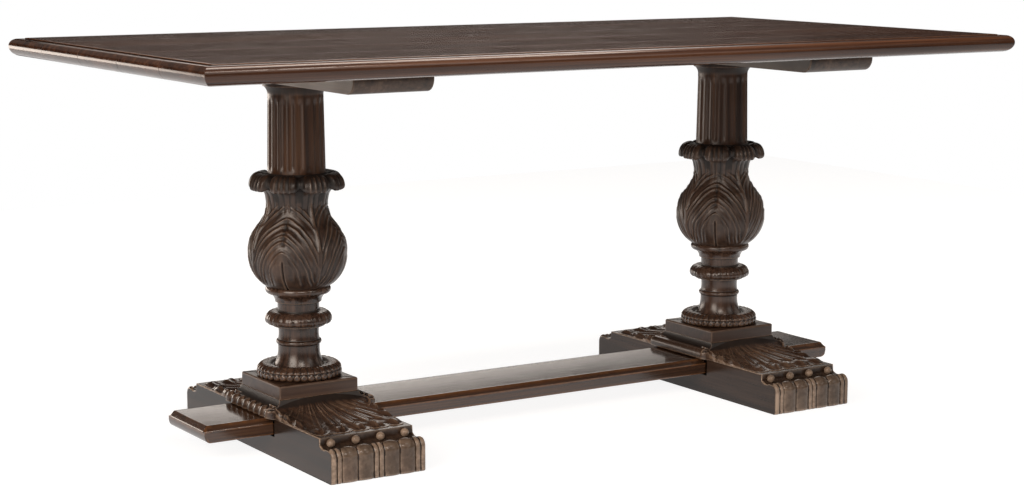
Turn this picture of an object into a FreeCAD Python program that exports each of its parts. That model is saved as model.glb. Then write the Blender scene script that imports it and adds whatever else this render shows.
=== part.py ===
import FreeCAD, Part
import math
import os
import Sketcher
from types import SimpleNamespace

# A refectory dining table in dark polished hardwood.
# A planked top with a moulded edge lies on two bearers. Each bearer is carried by a baluster made of a
# fluted shaft, an acanthus vase and a turned reel, which stands on a beaded ring, a plinth, a carved
# saddle and a sled foot. One long stretcher is let into both feet.
# Frame: origin on the floor under the middle of the top, +X along the table, +Z up, millimetres.

SIZES = {
    # Top
    "table_length": 1790,
    "table_width": 918,
    "table_height": 762,
    "top_thickness": 35,
    "board_count": 5,
    "edge_nose_width": 20,
    "edge_ledge_width": 5,
    "edge_fillet_drop": 3,
    "edge_nose_depth": 16,
    "edge_under_inset": 16,
    "spline_width": 20,
    "spline_thickness": 6,
    "spline_stop": 60,
    # Bearers under the top, and their screws
    "pedestal_spacing": 1010,
    "cleat_setback": 81,
    "cleat_width": 160,
    "cleat_round": 24,
    "cleat_land": 8,
    "cleat_screw_joint_inset": 27.6,
    "cleat_screw_side_inset": 35,
    "cleat_screw_bite": 18,
    "cleat_screw_shank_radius": 3,
    "cleat_screw_head_radius": 6,
    "cleat_screw_head_height": 4,
    # Round tenons of the baluster
    "tenon_radius": 24,
    "cleat_tenon_length": 22,
    "spigot_length": 30,
    "saddle_tenon_length": 24,
    "fit_clearance": 0.2,
    "end_clearance": 1,
    # Fluted shaft
    "shaft_top_radius": 52.2,
    "shaft_taper": 2.6,
    "capital_flare": 7.8,
    "capital_step": 2,
    "capital_band_height": 11,
    "capital_cavetto_height": 16,
    "flute_count": 20,
    "flute_radius": 6,
    "flute_depth": 3,
    "flute_end_margin": 6,
    "flute_end_taper": 3,
    # Acanthus vase
    "neck_radius": 58.5,
    "shoulder_swell": 17.5,
    "belly_swell": 18,
    "vase_foot_tuck": 34,
    "lip_overhang": 28.5,
    "lip_round": 7,
    "lip_seat_margin": 3.2,
    "belly_height": 59,
    "shoulder_rise": 57,
    "neck_rise": 46,
    "lip_rise": 27,
    "lip_crown": 17,
    "leaf_count": 4,
    "leaf_notch_radius": 14,
    "leaf_notch_depth": 9,
    "leaf_seam_width": 4,
    "leaf_seam_depth": 4,
    # Turned reel
    "reel_neck_radius": 39.5,
    "bell_flare": 8.5,
    "bell_height": 33,
    "bead_gap": 7.5,
    "bead_height": 9.5,
    "bead_projection": 4,
    "reel_hollow_height": 26,
    "reel_hollow_depth": 1.5,
    "collar_height": 4,
    "collar_projection": 10.5,
    "lotus_projection": 24.5,
    "lotus_top_projection": 6.5,
    "lotus_round": 8,
    "lotus_crown": 16.5,
    "lotus_lobe_count": 16,
    "lotus_notch_radius": 5,
    "lotus_notch_depth": 2.5,
    "cup_neck_height": 17.5,
    "cup_foot_projection": 4.5,
    "cup_flare": 14,
    "cup_height": 17,
    "cup_rim_height": 14,
    "cup_rim_projection": 4.5,
    # Beaded base ring and plinth
    "ring_dish_gap": 9,
    "ring_dish_depth": 5,
    "ring_lip_width": 3,
    "ring_spread": 21,
    "ring_foot_tuck": 3,
    "ring_belly_height": 9,
    "ring_crown": 16,
    "ring_bead_count": 36,
    "ring_notch_radius": 3,
    "ring_notch_depth": 2,
    "plinth_margin": 1,
    "plinth_height": 25,
    "plinth_chamfer": 2,
    # Carved saddle
    "saddle_height": 32,
    "saddle_flat_margin": 10,
    "saddle_setback": 11,
    "saddle_toe_height": 5,
    "saddle_slope_hollow": 5,
    "leaf_root_margin": 4,
    "leaf_toe_inset": 1,
    "leaf_scallop_count": 5,
    "leaf_scallop_depth": 4,
    "cushion_end_margin": 14,
    "cushion_overhang": 19,
    "cushion_crown_margin": 6,
    "cushion_lobe_count": 8,
    "cushion_lobe_depth": 9,
    "cushion_edge_height": 6,
    # Sled feet
    "foot_height": 76,
    "foot_width": 192,
    "foot_length": 636,
    "nose_length": 52,
    "nose_drop": 10,
    "nose_round": 20,
    "nose_crown_width": 8,
    "nose_hollow_depth": 8,
    "nose_foot_round": 4,
    "nose_lobe_pair_count": 2,
    "nose_reed_width": 8,
    "nose_reed_bulge": 3.5,
    "nose_lobe_bulge": 6,
    "knob_count": 4,
    "knob_radius": 8,
    "knob_spacing": 50.5,
    "knob_offset": 6,
    # Stretcher and the screws that hold it in the feet
    "stretcher_overhang": 139,
    "stretcher_width": 162,
    "stretcher_thickness": 32,
    "stretcher_chamfer_width": 8,
    "stretcher_chamfer_height": 10,
    "stretcher_end_round": 14,
    "foot_screw_spacing": 110,
    "foot_screw_shank_radius": 4,
    "foot_screw_head_radius": 8,
    "foot_screw_head_height": 6,
    "foot_screw_recess": 12,
    "foot_screw_bite": 24,
}

doc = FreeCAD.newDocument("refectory_table")
sheet = doc.addObject("Spreadsheet::Sheet", "Sizes")
for row, (alias, number) in enumerate(SIZES.items(), start=1):
    sheet.set(f"A{row}", alias.replace("_", " "))
    sheet.set(f"B{row}", str(number))
    sheet.setAlias(f"B{row}", alias)
doc.recompute()


class Size:
    """A length together with the sheet expression that gives it, so that arithmetic keeps both."""

    def __init__(self, value, text):
        self.value = float(value)
        self.text = text

    def __add__(self, other):
        other = as_size(other)
        return Size(self.value + other.value, f"({self.text} + {other.text})")

    def __sub__(self, other):
        other = as_size(other)
        return Size(self.value - other.value, f"({self.text} - {other.text})")

    def __mul__(self, other):
        other = as_size(other)
        return Size(self.value * other.value, f"({self.text} * {other.text})")

    def __truediv__(self, other):
        other = as_size(other)
        return Size(self.value / other.value, f"({self.text} / {other.text})")

    def __neg__(self):
        return Size(-self.value, f"(-1 * {self.text})")

    def __radd__(self, other):
        return as_size(other) + self

    def __rsub__(self, other):
        return as_size(other) - self

    def __rmul__(self, other):
        return as_size(other) * self

    def __rtruediv__(self, other):
        return as_size(other) / self


def as_size(number):
    """A Size as it is, or a plain number as a Size."""
    return number if isinstance(number, Size) else Size(number, repr(float(number)))


size = SimpleNamespace(**{alias: Size(sheet.get(alias), f"Sizes.{alias}") for alias in SIZES})
count = SimpleNamespace(**{alias: int(sheet.get(alias)) for alias in SIZES if alias.endswith("_count")})


def bind(item, **values):
    """Ties properties of an object to the sheet. A place is written with __ for each dot."""
    for name, value in values.items():
        item.setExpression(name.replace("__", "."), as_size(value).text)


def place(item, x=0, y=0, z=0):
    """Ties an object's position to the sheet."""
    bind(item, Placement__Base__x=x, Placement__Base__y=y, Placement__Base__z=z)


def flank_radius(across, along):
    """Radius of an arc that starts parallel to the axis and ends `across` away and `along` further."""
    return (across * across + along * along) / (2 * across)


def bow_radius(chord, bulge):
    """Radius of an arc that bows out by `bulge` over a chord."""
    return (chord * chord / 4 + bulge * bulge) / (2 * bulge)


def slant_bow_radius(across, along, bulge):
    """Radius of an arc that bows out by `bulge` over a slanting chord, given by its two extents."""
    return ((across * across + along * along) / 4 + bulge * bulge) / (2 * bulge)


def around(radius, turns):
    """The place (x, y) at a radius and a part of a full turn from the X axis."""
    angle = 2 * math.pi * turns
    return radius * math.cos(angle), radius * math.sin(angle)


def new_body(label, x=0, y=0, z=0):
    """An empty body with its label and its place in the table."""
    body = doc.addObject("PartDesign::Body", label)
    body.Label = label
    place(body, x, y, z)
    return body


def origin_feature(body, role):
    """One of the body's own origin planes or axes."""
    return next(item for item in body.Origin.OriginFeatures if item.Role == role)


def add_outline(sketch, path):
    """Adds one closed outline whose corners and radii are tied to the sheet.

    A corner is (across, up), and a straight edge leads from it to the next corner, or (across, up,
    radius), and an arc leads on: a positive radius bows out to the right of the way of travel.
    """
    first = sketch.GeometryCount
    starts = []
    ends = []
    corners = [FreeCAD.Vector(as_size(c[0]).value, as_size(c[1]).value, 0) for c in path]
    for index, corner in enumerate(path):
        here = corners[index]
        there = corners[(index + 1) % len(path)]
        radius = as_size(corner[2]) if len(corner) == 3 else None
        if radius is None:
            sketch.addGeometry(Part.LineSegment(here, there), False)
            starts.append(1)
            ends.append(2)
            continue
        turn = 1 if radius.value > 0 else -1
        chord = there - here
        left = FreeCAD.Vector(-chord.y, chord.x, 0).normalize()
        rise = max(radius.value ** 2 - chord.Length ** 2 / 4, 0) ** 0.5
        centre = (here + there) * 0.5 + left * (rise * turn)
        circle = Part.Circle(centre, FreeCAD.Vector(0, 0, 1), abs(radius.value))
        from_corner, to_corner = (here, there) if turn > 0 else (there, here)
        arc = Part.ArcOfCircle(circle, circle.parameter(from_corner), circle.parameter(to_corner))
        sketch.addGeometry(arc, False)
        starts.append(1 if turn > 0 else 2)
        ends.append(2 if turn > 0 else 1)
    for index in range(len(path)):
        after = (index + 1) % len(path)
        sketch.addConstraint(
            Sketcher.Constraint("Coincident", first + index, ends[index], first + after, starts[after]))
    for index, corner in enumerate(path):
        for kind, value in zip(("DistanceX", "DistanceY"), corner):
            value = as_size(value)
            constraint = Sketcher.Constraint(kind, -1, 1, first + index, starts[index], value.value)
            number = sketch.addConstraint(constraint)
            sketch.setExpression(f"Constraints[{number}]", value.text)
        if len(corner) == 3:
            radius = as_size(corner[2])
            radius = radius if radius.value > 0 else -radius
            number = sketch.addConstraint(Sketcher.Constraint("Radius", first + index, radius.value))
            sketch.setExpression(f"Constraints[{number}]", radius.text)


def new_sketch(body, name, plane, *paths):
    """A sketch of closed outlines on one of the body's origin planes."""
    sketch = body.newObject("Sketcher::SketchObject", f"{body.Name}_{name}")
    sketch.AttachmentSupport = [(origin_feature(body, plane), "")]
    sketch.MapMode = "FlatFace"
    for path in paths:
        add_outline(sketch, path)
    return sketch


def pad(body, name, plane, path, length):
    """A prism that reaches half its length to each side of the sketch plane."""
    feature = body.newObject("PartDesign::Pad", f"{body.Name}_{name}_pad")
    feature.Profile = new_sketch(body, name, plane, path)
    feature.SideType = "Symmetric"
    bind(feature, Length=length)
    return feature


def trim(body, name, plane, path, half_width, low, high, length):
    """Removes what lies outside an outline, within a frame drawn round the whole piece."""
    frame = [(-half_width, low), (half_width, low), (half_width, high), (-half_width, high)]
    return pocket(body, name, plane, [frame, path], length)


def pocket(body, name, plane, paths, length):
    """Cuts closed outlines out of the body, half the length to each side of the sketch plane."""
    feature = body.newObject("PartDesign::Pocket", f"{body.Name}_{name}_cut")
    feature.Profile = new_sketch(body, name, plane, *paths)
    feature.SideType = "Symmetric"
    bind(feature, Length=length)
    return feature


def turn(body, path):
    """Turns a half profile, drawn as (radius, height), about the vertical axis."""
    feature = body.newObject("PartDesign::Revolution", f"{body.Name}_turned")
    sketch = new_sketch(body, "profile", "XZ_Plane", path)
    feature.Profile = sketch
    feature.ReferenceAxis = (sketch, ["V_Axis"])
    feature.Angle = 360
    return feature


def bore(body, name, radius, low, high, x=0, y=0):
    """A round upright hole between two heights of the body."""
    feature = body.newObject("PartDesign::SubtractiveCylinder", f"{body.Name}_{name}")
    bind(feature, Radius=radius, Height=high - low)
    place(feature, x, y, low)
    return feature


def repeat(body, label, x, z=0):
    """A second copy of a piece, which follows the first, turned to face the other way in its own place."""
    copy = doc.addObject("App::Link", label)
    copy.Label = label
    copy.LinkedObject = body
    copy.LinkTransform = False
    copy.Placement.Rotation = FreeCAD.Rotation(FreeCAD.Vector(0, 0, 1), 180)
    place(copy, x=x, z=z)
    return copy


def pattern_round(body, feature, copies):
    """Repeats a cut evenly round the vertical axis."""
    pattern = body.newObject("PartDesign::PolarPattern", f"{feature.Name}_round")
    pattern.Originals = [feature]
    pattern.Axis = (origin_feature(body, "Z_Axis"), [""])
    pattern.Angle = 360
    bind(pattern, Occurrences=copies)
    body.Tip = pattern
    return pattern


# Radii and heights that neighbouring pieces share
bore_radius = size.tenon_radius + size.fit_clearance
shaft_bottom_radius = size.shaft_top_radius + size.shaft_taper
bell_radius = size.reel_neck_radius + size.bell_flare
ring_lip_inner_radius = bell_radius + size.ring_dish_gap
ring_lip_radius = ring_lip_inner_radius + size.ring_lip_width
ring_radius = ring_lip_radius + size.ring_spread
plinth_width = 2 * (ring_radius + size.plinth_margin)
ring_height = size.ring_belly_height + size.ring_crown
ring_seat_height = ring_height - size.ring_dish_depth
bead_base = size.bell_height + size.bead_gap
bead_top = bead_base + size.bead_height
collar_base = bead_top + size.reel_hollow_height
lotus_base = collar_base + size.collar_height
lotus_widest = lotus_base + size.lotus_round
lotus_top = lotus_widest + size.lotus_crown
cup_base = lotus_top + size.cup_neck_height
cup_rim_base = cup_base + size.cup_height
reel_height = cup_rim_base + size.cup_rim_height
shoulder_height = size.belly_height + size.shoulder_rise
neck_height = shoulder_height + size.neck_rise
lip_under_height = neck_height + size.lip_rise
lip_height = lip_under_height + size.lip_round
vase_height = lip_height + size.lip_crown
cleat_thickness = size.cleat_round + size.cleat_land
cleat_length = size.table_width - 2 * size.cleat_setback
stretcher_length = size.pedestal_spacing + size.foot_width + 2 * size.stretcher_overhang
foot_half_length = size.foot_length / 2
foot_half_top = foot_half_length - size.nose_length

# Heights of the joints between the stacked pieces, from the floor up
saddle_base = size.foot_height
plinth_base = saddle_base + size.saddle_height
ring_base = plinth_base + size.plinth_height
reel_base = ring_base + ring_seat_height
vase_base = reel_base + reel_height
shaft_base = vase_base + vase_height
top_base = size.table_height - size.top_thickness
cleat_base = top_base - cleat_thickness
shaft_height = cleat_base - shaft_base
stretcher_base = size.foot_height - size.stretcher_thickness
pieces = []


def edge_moulding(end, base):
    """The moulded edge from its foot up: under-round, nose, ledge, fillet, with the edge on the right."""
    top = base + size.top_thickness
    nose = top - size.edge_nose_depth
    ledge = top - size.edge_fillet_drop
    ledge_end = end - size.edge_nose_width
    fillet = ledge_end - size.edge_ledge_width
    return [
        (end - size.edge_under_inset, base, flank_radius(size.edge_under_inset, nose - base)),
        (end, nose, flank_radius(size.edge_nose_width, ledge - nose)),
        (ledge_end, ledge),
        (fillet, ledge),
        (fillet, top),
    ]


def mirrored(path):
    """The same run of corners for the opposite edge, in the opposite order, with arcs bowing alike."""
    flipped = []
    for index in range(len(path) - 1, -1, -1):
        across, up = path[index][:2]
        arc = path[index - 1][2:] if index > 0 else ()
        flipped.append((-as_size(across), up) + arc)
    return flipped


# Planked top: boards glued edge to edge on loose tongues, with the edge moulded in the solid
board_width = size.table_width / size.board_count
half_length = size.table_length / 2
half_top_width = size.table_width / 2
end_outline = edge_moulding(half_length, top_base)
end_outline = end_outline + mirrored(end_outline)
groove_length = size.table_length - 2 * size.spline_stop
tongue_middle = top_base + size.top_thickness / 2
frame_margin = size.top_thickness

boards = []
for number in range(1, count.board_count + 1):
    board = new_body(f"top_board_{number}")
    front = board_width * (number - 1) - half_top_width
    back = front + board_width
    section = []
    if number == count.board_count:
        section += edge_moulding(half_top_width, top_base)
    else:
        section += [(back, top_base), (back, size.table_height)]
    if number == 1:
        section += mirrored(edge_moulding(half_top_width, top_base))
    else:
        section += [(front, size.table_height), (front, top_base)]
    pad(board, "section", "YZ_Plane", section, size.table_length)
    trim(board, "ends", "XZ_Plane", end_outline, half_length + frame_margin, top_base - frame_margin,
         size.table_height + frame_margin, 2 * size.table_width)
    for joint, edge in (("front", front), ("back", back)):
        outer = number == 1 if joint == "front" else number == count.board_count
        if outer:
            continue
        groove = board.newObject("PartDesign::SubtractiveBox", f"{board.Name}_{joint}_groove")
        groove_height = size.spline_thickness + 2 * size.fit_clearance
        groove_width = size.spline_width + 2 * size.fit_clearance
        bind(groove, Length=groove_length + 2 * size.fit_clearance, Width=groove_width, Height=groove_height)
        place(groove, -groove_length / 2 - size.fit_clearance, edge - groove_width / 2,
              tongue_middle - groove_height / 2)
    boards.append(board)

tongues = []
for number in range(1, count.board_count):
    tongue = doc.addObject("Part::Box", f"tongue_{number}")
    bind(tongue, Length=groove_length, Width=size.spline_width, Height=size.spline_thickness)
    place(tongue, -groove_length / 2, board_width * number - half_top_width - size.spline_width / 2,
          tongue_middle - size.spline_thickness / 2)
    tongues.append(tongue)
top_splines = doc.addObject("Part::Compound", "top_splines")
top_splines.Links = tongues
pieces += boards + [top_splines]

# Bearers across the top, with the lower corners of their ends rounded, and their countersunk screws
half_cleat = cleat_length / 2
cleat_end = [
    (half_cleat - size.cleat_round, 0, size.cleat_round),
    (half_cleat, size.cleat_round),
    (half_cleat, cleat_thickness),
]
left_x = -size.pedestal_spacing / 2
right_x = size.pedestal_spacing / 2
cleat = new_body("cleat_left", x=left_x, z=cleat_base)
pad(cleat, "section", "YZ_Plane", cleat_end + mirrored(cleat_end), size.cleat_width)
bore(cleat, "mortise", bore_radius, 0, size.cleat_tenon_length + size.end_clearance)
screw_x = size.cleat_width / 2 - size.cleat_screw_side_inset
screw_y = half_top_width - board_width + size.cleat_screw_joint_inset
screw_length = cleat_thickness + size.cleat_screw_bite
screw_hole_radius = size.cleat_screw_shank_radius + size.fit_clearance
cleat_screws = []
for number, (across, along) in enumerate([(-1, -1), (1, -1), (-1, 1), (1, 1)], start=1):
    x = screw_x * across
    y = screw_y * along
    bore(cleat, f"screw_hole_{number}", screw_hole_radius, 0, cleat_thickness, x, y)
    sink = cleat.newObject("PartDesign::SubtractiveCone", f"countersink_{number}")
    bind(sink, Radius1=size.cleat_screw_head_radius + size.fit_clearance, Radius2=screw_hole_radius,
         Height=size.cleat_screw_head_height)
    place(sink, x, y, 0)
    for side, cleat_x in (("left", left_x), ("right", right_x)):
        head = doc.addObject("Part::Cone", f"{side}_screw_head_{number}")
        bind(head, Radius1=size.cleat_screw_head_radius, Radius2=size.cleat_screw_shank_radius,
             Height=size.cleat_screw_head_height)
        shank = doc.addObject("Part::Cylinder", f"{side}_screw_shank_{number}")
        bind(shank, Radius=size.cleat_screw_shank_radius, Height=screw_length)
        screw = doc.addObject("Part::Fuse", f"{side}_screw_{number}")
        screw.Base = head
        screw.Tool = shank
        for part in (head, shank):
            place(part, cleat_x + x, y, cleat_base)
        cleat_screws.append(screw)
        for place_in_row, board in enumerate(boards):
            middle = board_width * (place_in_row + 0.5) - half_top_width
            if abs(y.value - middle.value) < board_width.value / 2 + screw_hole_radius.value:
                bore(board, f"{side}_screw_hole_{number}", screw_hole_radius, top_base,
                     cleat_base + screw_length + size.end_clearance, cleat_x + x, y)
screw_group = doc.addObject("Part::Compound", "cleat_screws")
screw_group.Links = cleat_screws
pieces += [cleat, repeat(cleat, "cleat_right", right_x, cleat_base), screw_group]


def shaft(label):
    """Tapered shaft with a cavetto capital, a tenon at each end and stopped flutes."""
    body = new_body(label, x=left_x, z=shaft_base)
    band_base = shaft_height - size.capital_band_height
    cavetto_base = band_base - size.capital_cavetto_height
    cavetto_radius = size.shaft_top_radius + size.capital_flare
    capital_radius = cavetto_radius + size.capital_step
    turn(body, [
        (0, -size.spigot_length),
        (size.tenon_radius, -size.spigot_length),
        (size.tenon_radius, 0),
        (shaft_bottom_radius, 0),
        (size.shaft_top_radius, cavetto_base,
         -flank_radius(size.capital_flare, size.capital_cavetto_height)),
        (cavetto_radius, band_base),
        (capital_radius, band_base),
        (capital_radius, shaft_height),
        (size.tenon_radius, shaft_height),
        (size.tenon_radius, shaft_height + size.cleat_tenon_length),
        (0, shaft_height + size.cleat_tenon_length),
    ])
    # One flute is a round bar with tapered ends whose axis follows the taper, repeated round the shaft
    low = size.flute_end_margin
    high = cavetto_base - size.flute_end_margin
    stand_off = size.flute_radius - size.flute_depth
    low_x = shaft_bottom_radius + stand_off
    high_x = size.shaft_top_radius + stand_off
    flute = body.newObject("PartDesign::Groove", f"{label}_flute")
    sketch = new_sketch(body, "flute", "XZ_Plane", [
        (low_x, low),
        (high_x, high),
        (high_x - size.flute_radius, high - size.flute_end_taper),
        (low_x - size.flute_radius, low + size.flute_end_taper),
    ])
    flute.Profile = sketch
    flute.ReferenceAxis = (sketch, ["Edge1"])
    flute.Angle = 360
    pattern_round(body, flute, size.flute_count)
    return body, shaft_base


def vase(label):
    """Vase with a swelling belly, a drawn-in neck and a lip of leaf tips, seamed between the leaves."""
    body = new_body(label, x=left_x, z=vase_base)
    socket = size.spigot_length + size.end_clearance
    shoulder_radius = size.neck_radius + size.shoulder_swell
    belly_radius = shoulder_radius + size.belly_swell
    foot_radius = belly_radius - size.vase_foot_tuck
    lip_radius = size.neck_radius + size.lip_overhang
    lip_under_radius = lip_radius - size.lip_round
    lip_inner_radius = shaft_bottom_radius + size.lip_seat_margin
    turn(body, [
        (0, socket),
        (bore_radius, socket),
        (bore_radius, 0),
        (foot_radius, 0, flank_radius(size.vase_foot_tuck, size.belly_height)),
        (belly_radius, size.belly_height, flank_radius(size.belly_swell, size.shoulder_rise)),
        (shoulder_radius, shoulder_height, -flank_radius(size.shoulder_swell, size.neck_rise)),
        (size.neck_radius, neck_height, -flank_radius(lip_under_radius - size.neck_radius, size.lip_rise)),
        (lip_under_radius, lip_under_height, size.lip_round),
        (lip_radius, lip_height, flank_radius(lip_radius - lip_inner_radius, size.lip_crown)),
        (lip_inner_radius, vase_height),
        (bore_radius, vase_height),
        (bore_radius, vase_height - socket),
        (0, vase_height - socket),
    ])
    # A groove down the belly parts each leaf from the next
    groove_floor = belly_radius - size.leaf_seam_depth
    groove_foot = foot_radius - size.leaf_seam_depth
    outside = belly_radius + size.leaf_seam_depth
    seam = pocket(body, "leaf_seam", "XZ_Plane", [[
        (groove_foot, 0),
        (outside, 0),
        (outside, shoulder_height),
        (shoulder_radius - size.leaf_seam_depth, shoulder_height,
         -flank_radius(size.belly_swell, size.shoulder_rise)),
        (groove_floor, size.belly_height, -flank_radius(size.vase_foot_tuck, size.belly_height)),
    ]], size.leaf_seam_width)
    sketch = seam.Profile[0]
    upright = FreeCAD.Vector(0, 1, 0)
    half_leaf_angle = 180 / size.leaf_count
    sketch.AttachmentOffset.Rotation = FreeCAD.Rotation(upright, half_leaf_angle.value)
    bind(sketch, AttachmentOffset__Rotation__Angle=half_leaf_angle)
    pattern_round(body, seam, size.leaf_count)
    # Each leaf ends in a large tip, with a small one between two leaves, and a hollow between tips
    tip_count = 2 * count.leaf_count
    x, y = around(lip_radius + size.leaf_notch_radius - size.leaf_notch_depth, 0.5 / tip_count)
    notch = bore(body, "leaf_notch", size.leaf_notch_radius, lip_under_height - size.lip_round,
                 vase_height + size.lip_round, x, y)
    pattern_round(body, notch, 2 * size.leaf_count)
    return body, vase_base


def reel(label):
    """Turned reel: bell, bead, hollow, lotus boss and cup, with a long tenon below and a spigot above."""
    body = new_body(label, x=left_x, z=reel_base)
    neck = size.reel_neck_radius
    tenon_foot = -(ring_seat_height + size.plinth_height + size.saddle_tenon_length)
    collar_radius = neck + size.collar_projection
    lotus_radius = neck + size.lotus_projection
    lotus_top_radius = neck + size.lotus_top_projection
    cup_foot_radius = neck + size.cup_foot_projection
    cup_rim_radius = cup_foot_radius + size.cup_flare
    turn(body, [
        (0, tenon_foot),
        (size.tenon_radius, tenon_foot),
        (size.tenon_radius, 0),
        (bell_radius, 0, -flank_radius(size.bell_flare, size.bell_height)),
        (neck, size.bell_height),
        (neck, bead_base, bow_radius(size.bead_height, size.bead_projection)),
        (neck, bead_top, -bow_radius(size.reel_hollow_height, size.reel_hollow_depth)),
        (neck, collar_base),
        (collar_radius, collar_base),
        (collar_radius, lotus_base),
        (lotus_radius - size.lotus_round, lotus_base, size.lotus_round),
        (lotus_radius, lotus_widest, flank_radius(lotus_radius - lotus_top_radius, size.lotus_crown)),
        (lotus_top_radius, lotus_top),
        (neck, lotus_top),
        (neck, cup_base),
        (cup_foot_radius, cup_base, -flank_radius(size.cup_flare, size.cup_height)),
        (cup_rim_radius, cup_rim_base, bow_radius(size.cup_rim_height, size.cup_rim_projection)),
        (cup_rim_radius, reel_height),
        (size.tenon_radius, reel_height),
        (size.tenon_radius, reel_height + size.spigot_length),
        (0, reel_height + size.spigot_length),
    ])
    notch = bore(body, "lotus_notch", size.lotus_notch_radius, lotus_base, lotus_top,
                 lotus_radius + size.lotus_notch_radius - size.lotus_notch_depth)
    pattern_round(body, notch, size.lotus_lobe_count)
    return body, reel_base


def base_ring(label):
    """Beaded ring under the reel, dished on top so that the bell of the reel sits inside its lip."""
    body = new_body(label, x=left_x, z=ring_base)
    turn(body, [
        (bore_radius, 0),
        (ring_radius - size.ring_foot_tuck, 0, flank_radius(size.ring_foot_tuck, size.ring_belly_height)),
        (ring_radius, size.ring_belly_height, flank_radius(size.ring_spread, size.ring_crown)),
        (ring_lip_radius, ring_height),
        (ring_lip_inner_radius, ring_height),
        (ring_lip_inner_radius, ring_seat_height),
        (bore_radius, ring_seat_height),
    ])
    notch = bore(body, "bead_notch", size.ring_notch_radius, 0, ring_height,
                 ring_radius + size.ring_notch_radius - size.ring_notch_depth)
    pattern_round(body, notch, size.ring_bead_count)
    return body, ring_base


def plinth(label):
    """Square plinth block with a chamfered upper edge, bored for the tenon of the reel."""
    body = new_body(label, x=left_x, z=plinth_base)
    half = plinth_width / 2
    side_edge = [
        (half, 0),
        (half, size.plinth_height - size.plinth_chamfer),
        (half - size.plinth_chamfer, size.plinth_height),
    ]
    outline = side_edge + mirrored(side_edge)
    pad(body, "section", "YZ_Plane", outline, plinth_width)
    trim(body, "sides", "XZ_Plane", outline, plinth_width, -size.plinth_height, 2 * size.plinth_height,
         2 * plinth_width)
    bore(body, "tenon_hole", bore_radius, 0, size.plinth_height)
    return body, plinth_base


def lobed_run(start, end, lobes, bulge):
    """Corners of a straight run between two points that is broken into equal lobes bowing out."""
    step_x = (as_size(end[0]) - start[0]) / lobes
    step_y = (as_size(end[1]) - start[1]) / lobes
    radius = slant_bow_radius(step_x, step_y, bulge)
    return [(start[0] + step_x * k, start[1] + step_y * k, radius) for k in range(lobes)]


def turned_half(path):
    """The same run of corners turned by half a circle, which goes on where the run ends."""
    return [(-as_size(corner[0]), -as_size(corner[1])) + tuple(corner[2:]) for corner in path]


def saddle(label):
    """Saddle: leaf-shaped slopes with scalloped sides, a gadrooned cushion outside, a plain one inside."""
    body = new_body(label, x=left_x, z=saddle_base)
    half_flat = plinth_width / 2 + size.saddle_flat_margin
    half_length_y = foot_half_top - size.saddle_setback
    slope_fall = size.saddle_height - size.saddle_toe_height
    half_reach = size.foot_width / 2 + size.cushion_overhang
    slope_radius = slant_bow_radius(half_length_y - half_flat, slope_fall, size.saddle_slope_hollow)
    toe = [
        (half_length_y, 0),
        (half_length_y, size.saddle_toe_height, -slope_radius),
        (half_flat, size.saddle_height),
    ]
    pad(body, "slope", "YZ_Plane", toe + mirrored(toe), 2 * half_reach)
    half_toe = size.foot_width / 2 - size.leaf_toe_inset
    half_root = plinth_width / 2 + size.leaf_root_margin
    half_cushion = plinth_width / 2 + size.cushion_end_margin
    cushion_line = half_reach - size.cushion_lobe_depth
    near_leaf = lobed_run((half_toe, -half_length_y), (half_root, -half_cushion), count.leaf_scallop_count,
                          size.leaf_scallop_depth)
    far_leaf = lobed_run((half_root, half_cushion), (half_toe, half_length_y), count.leaf_scallop_count,
                         size.leaf_scallop_depth)
    gadroons = lobed_run((cushion_line, -half_cushion), (cushion_line, half_cushion),
                         count.cushion_lobe_count, size.cushion_lobe_depth)
    plain_side = near_leaf + [
        (half_root, -half_cushion),
        (half_reach, -half_cushion),
        (half_reach, half_cushion),
    ] + far_leaf + [(half_toe, half_length_y)]
    gadrooned_side = near_leaf + [(half_root, -half_cushion)] + gadroons + [
        (cushion_line, half_cushion),
    ] + far_leaf + [(half_toe, half_length_y)]
    frame_reach = 2 * half_reach
    trim(body, "leaf", "XY_Plane", plain_side + turned_half(gadrooned_side), frame_reach, -2 * half_length_y,
         2 * half_length_y, 4 * size.saddle_height)
    half_crown = plinth_width / 2 + size.cushion_crown_margin
    crown = [
        (half_reach, 0),
        (half_reach, size.cushion_edge_height,
         flank_radius(half_reach - half_crown, size.saddle_height - size.cushion_edge_height)),
        (half_crown, size.saddle_height),
    ]
    trim(body, "crown", "XZ_Plane", crown + mirrored(crown), frame_reach, -size.saddle_height,
         2 * size.saddle_height, 4 * half_length_y)
    bore(body, "mortise", bore_radius, size.saddle_height - size.saddle_tenon_length - size.end_clearance,
         size.saddle_height)
    for number, sign in enumerate((-1, 1), start=1):
        bore(body, f"screw_hole_{number}", size.foot_screw_shank_radius + size.fit_clearance, 0,
             size.foot_screw_bite + size.end_clearance, 0, size.foot_screw_spacing / 2 * sign)
    return body, saddle_base


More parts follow.
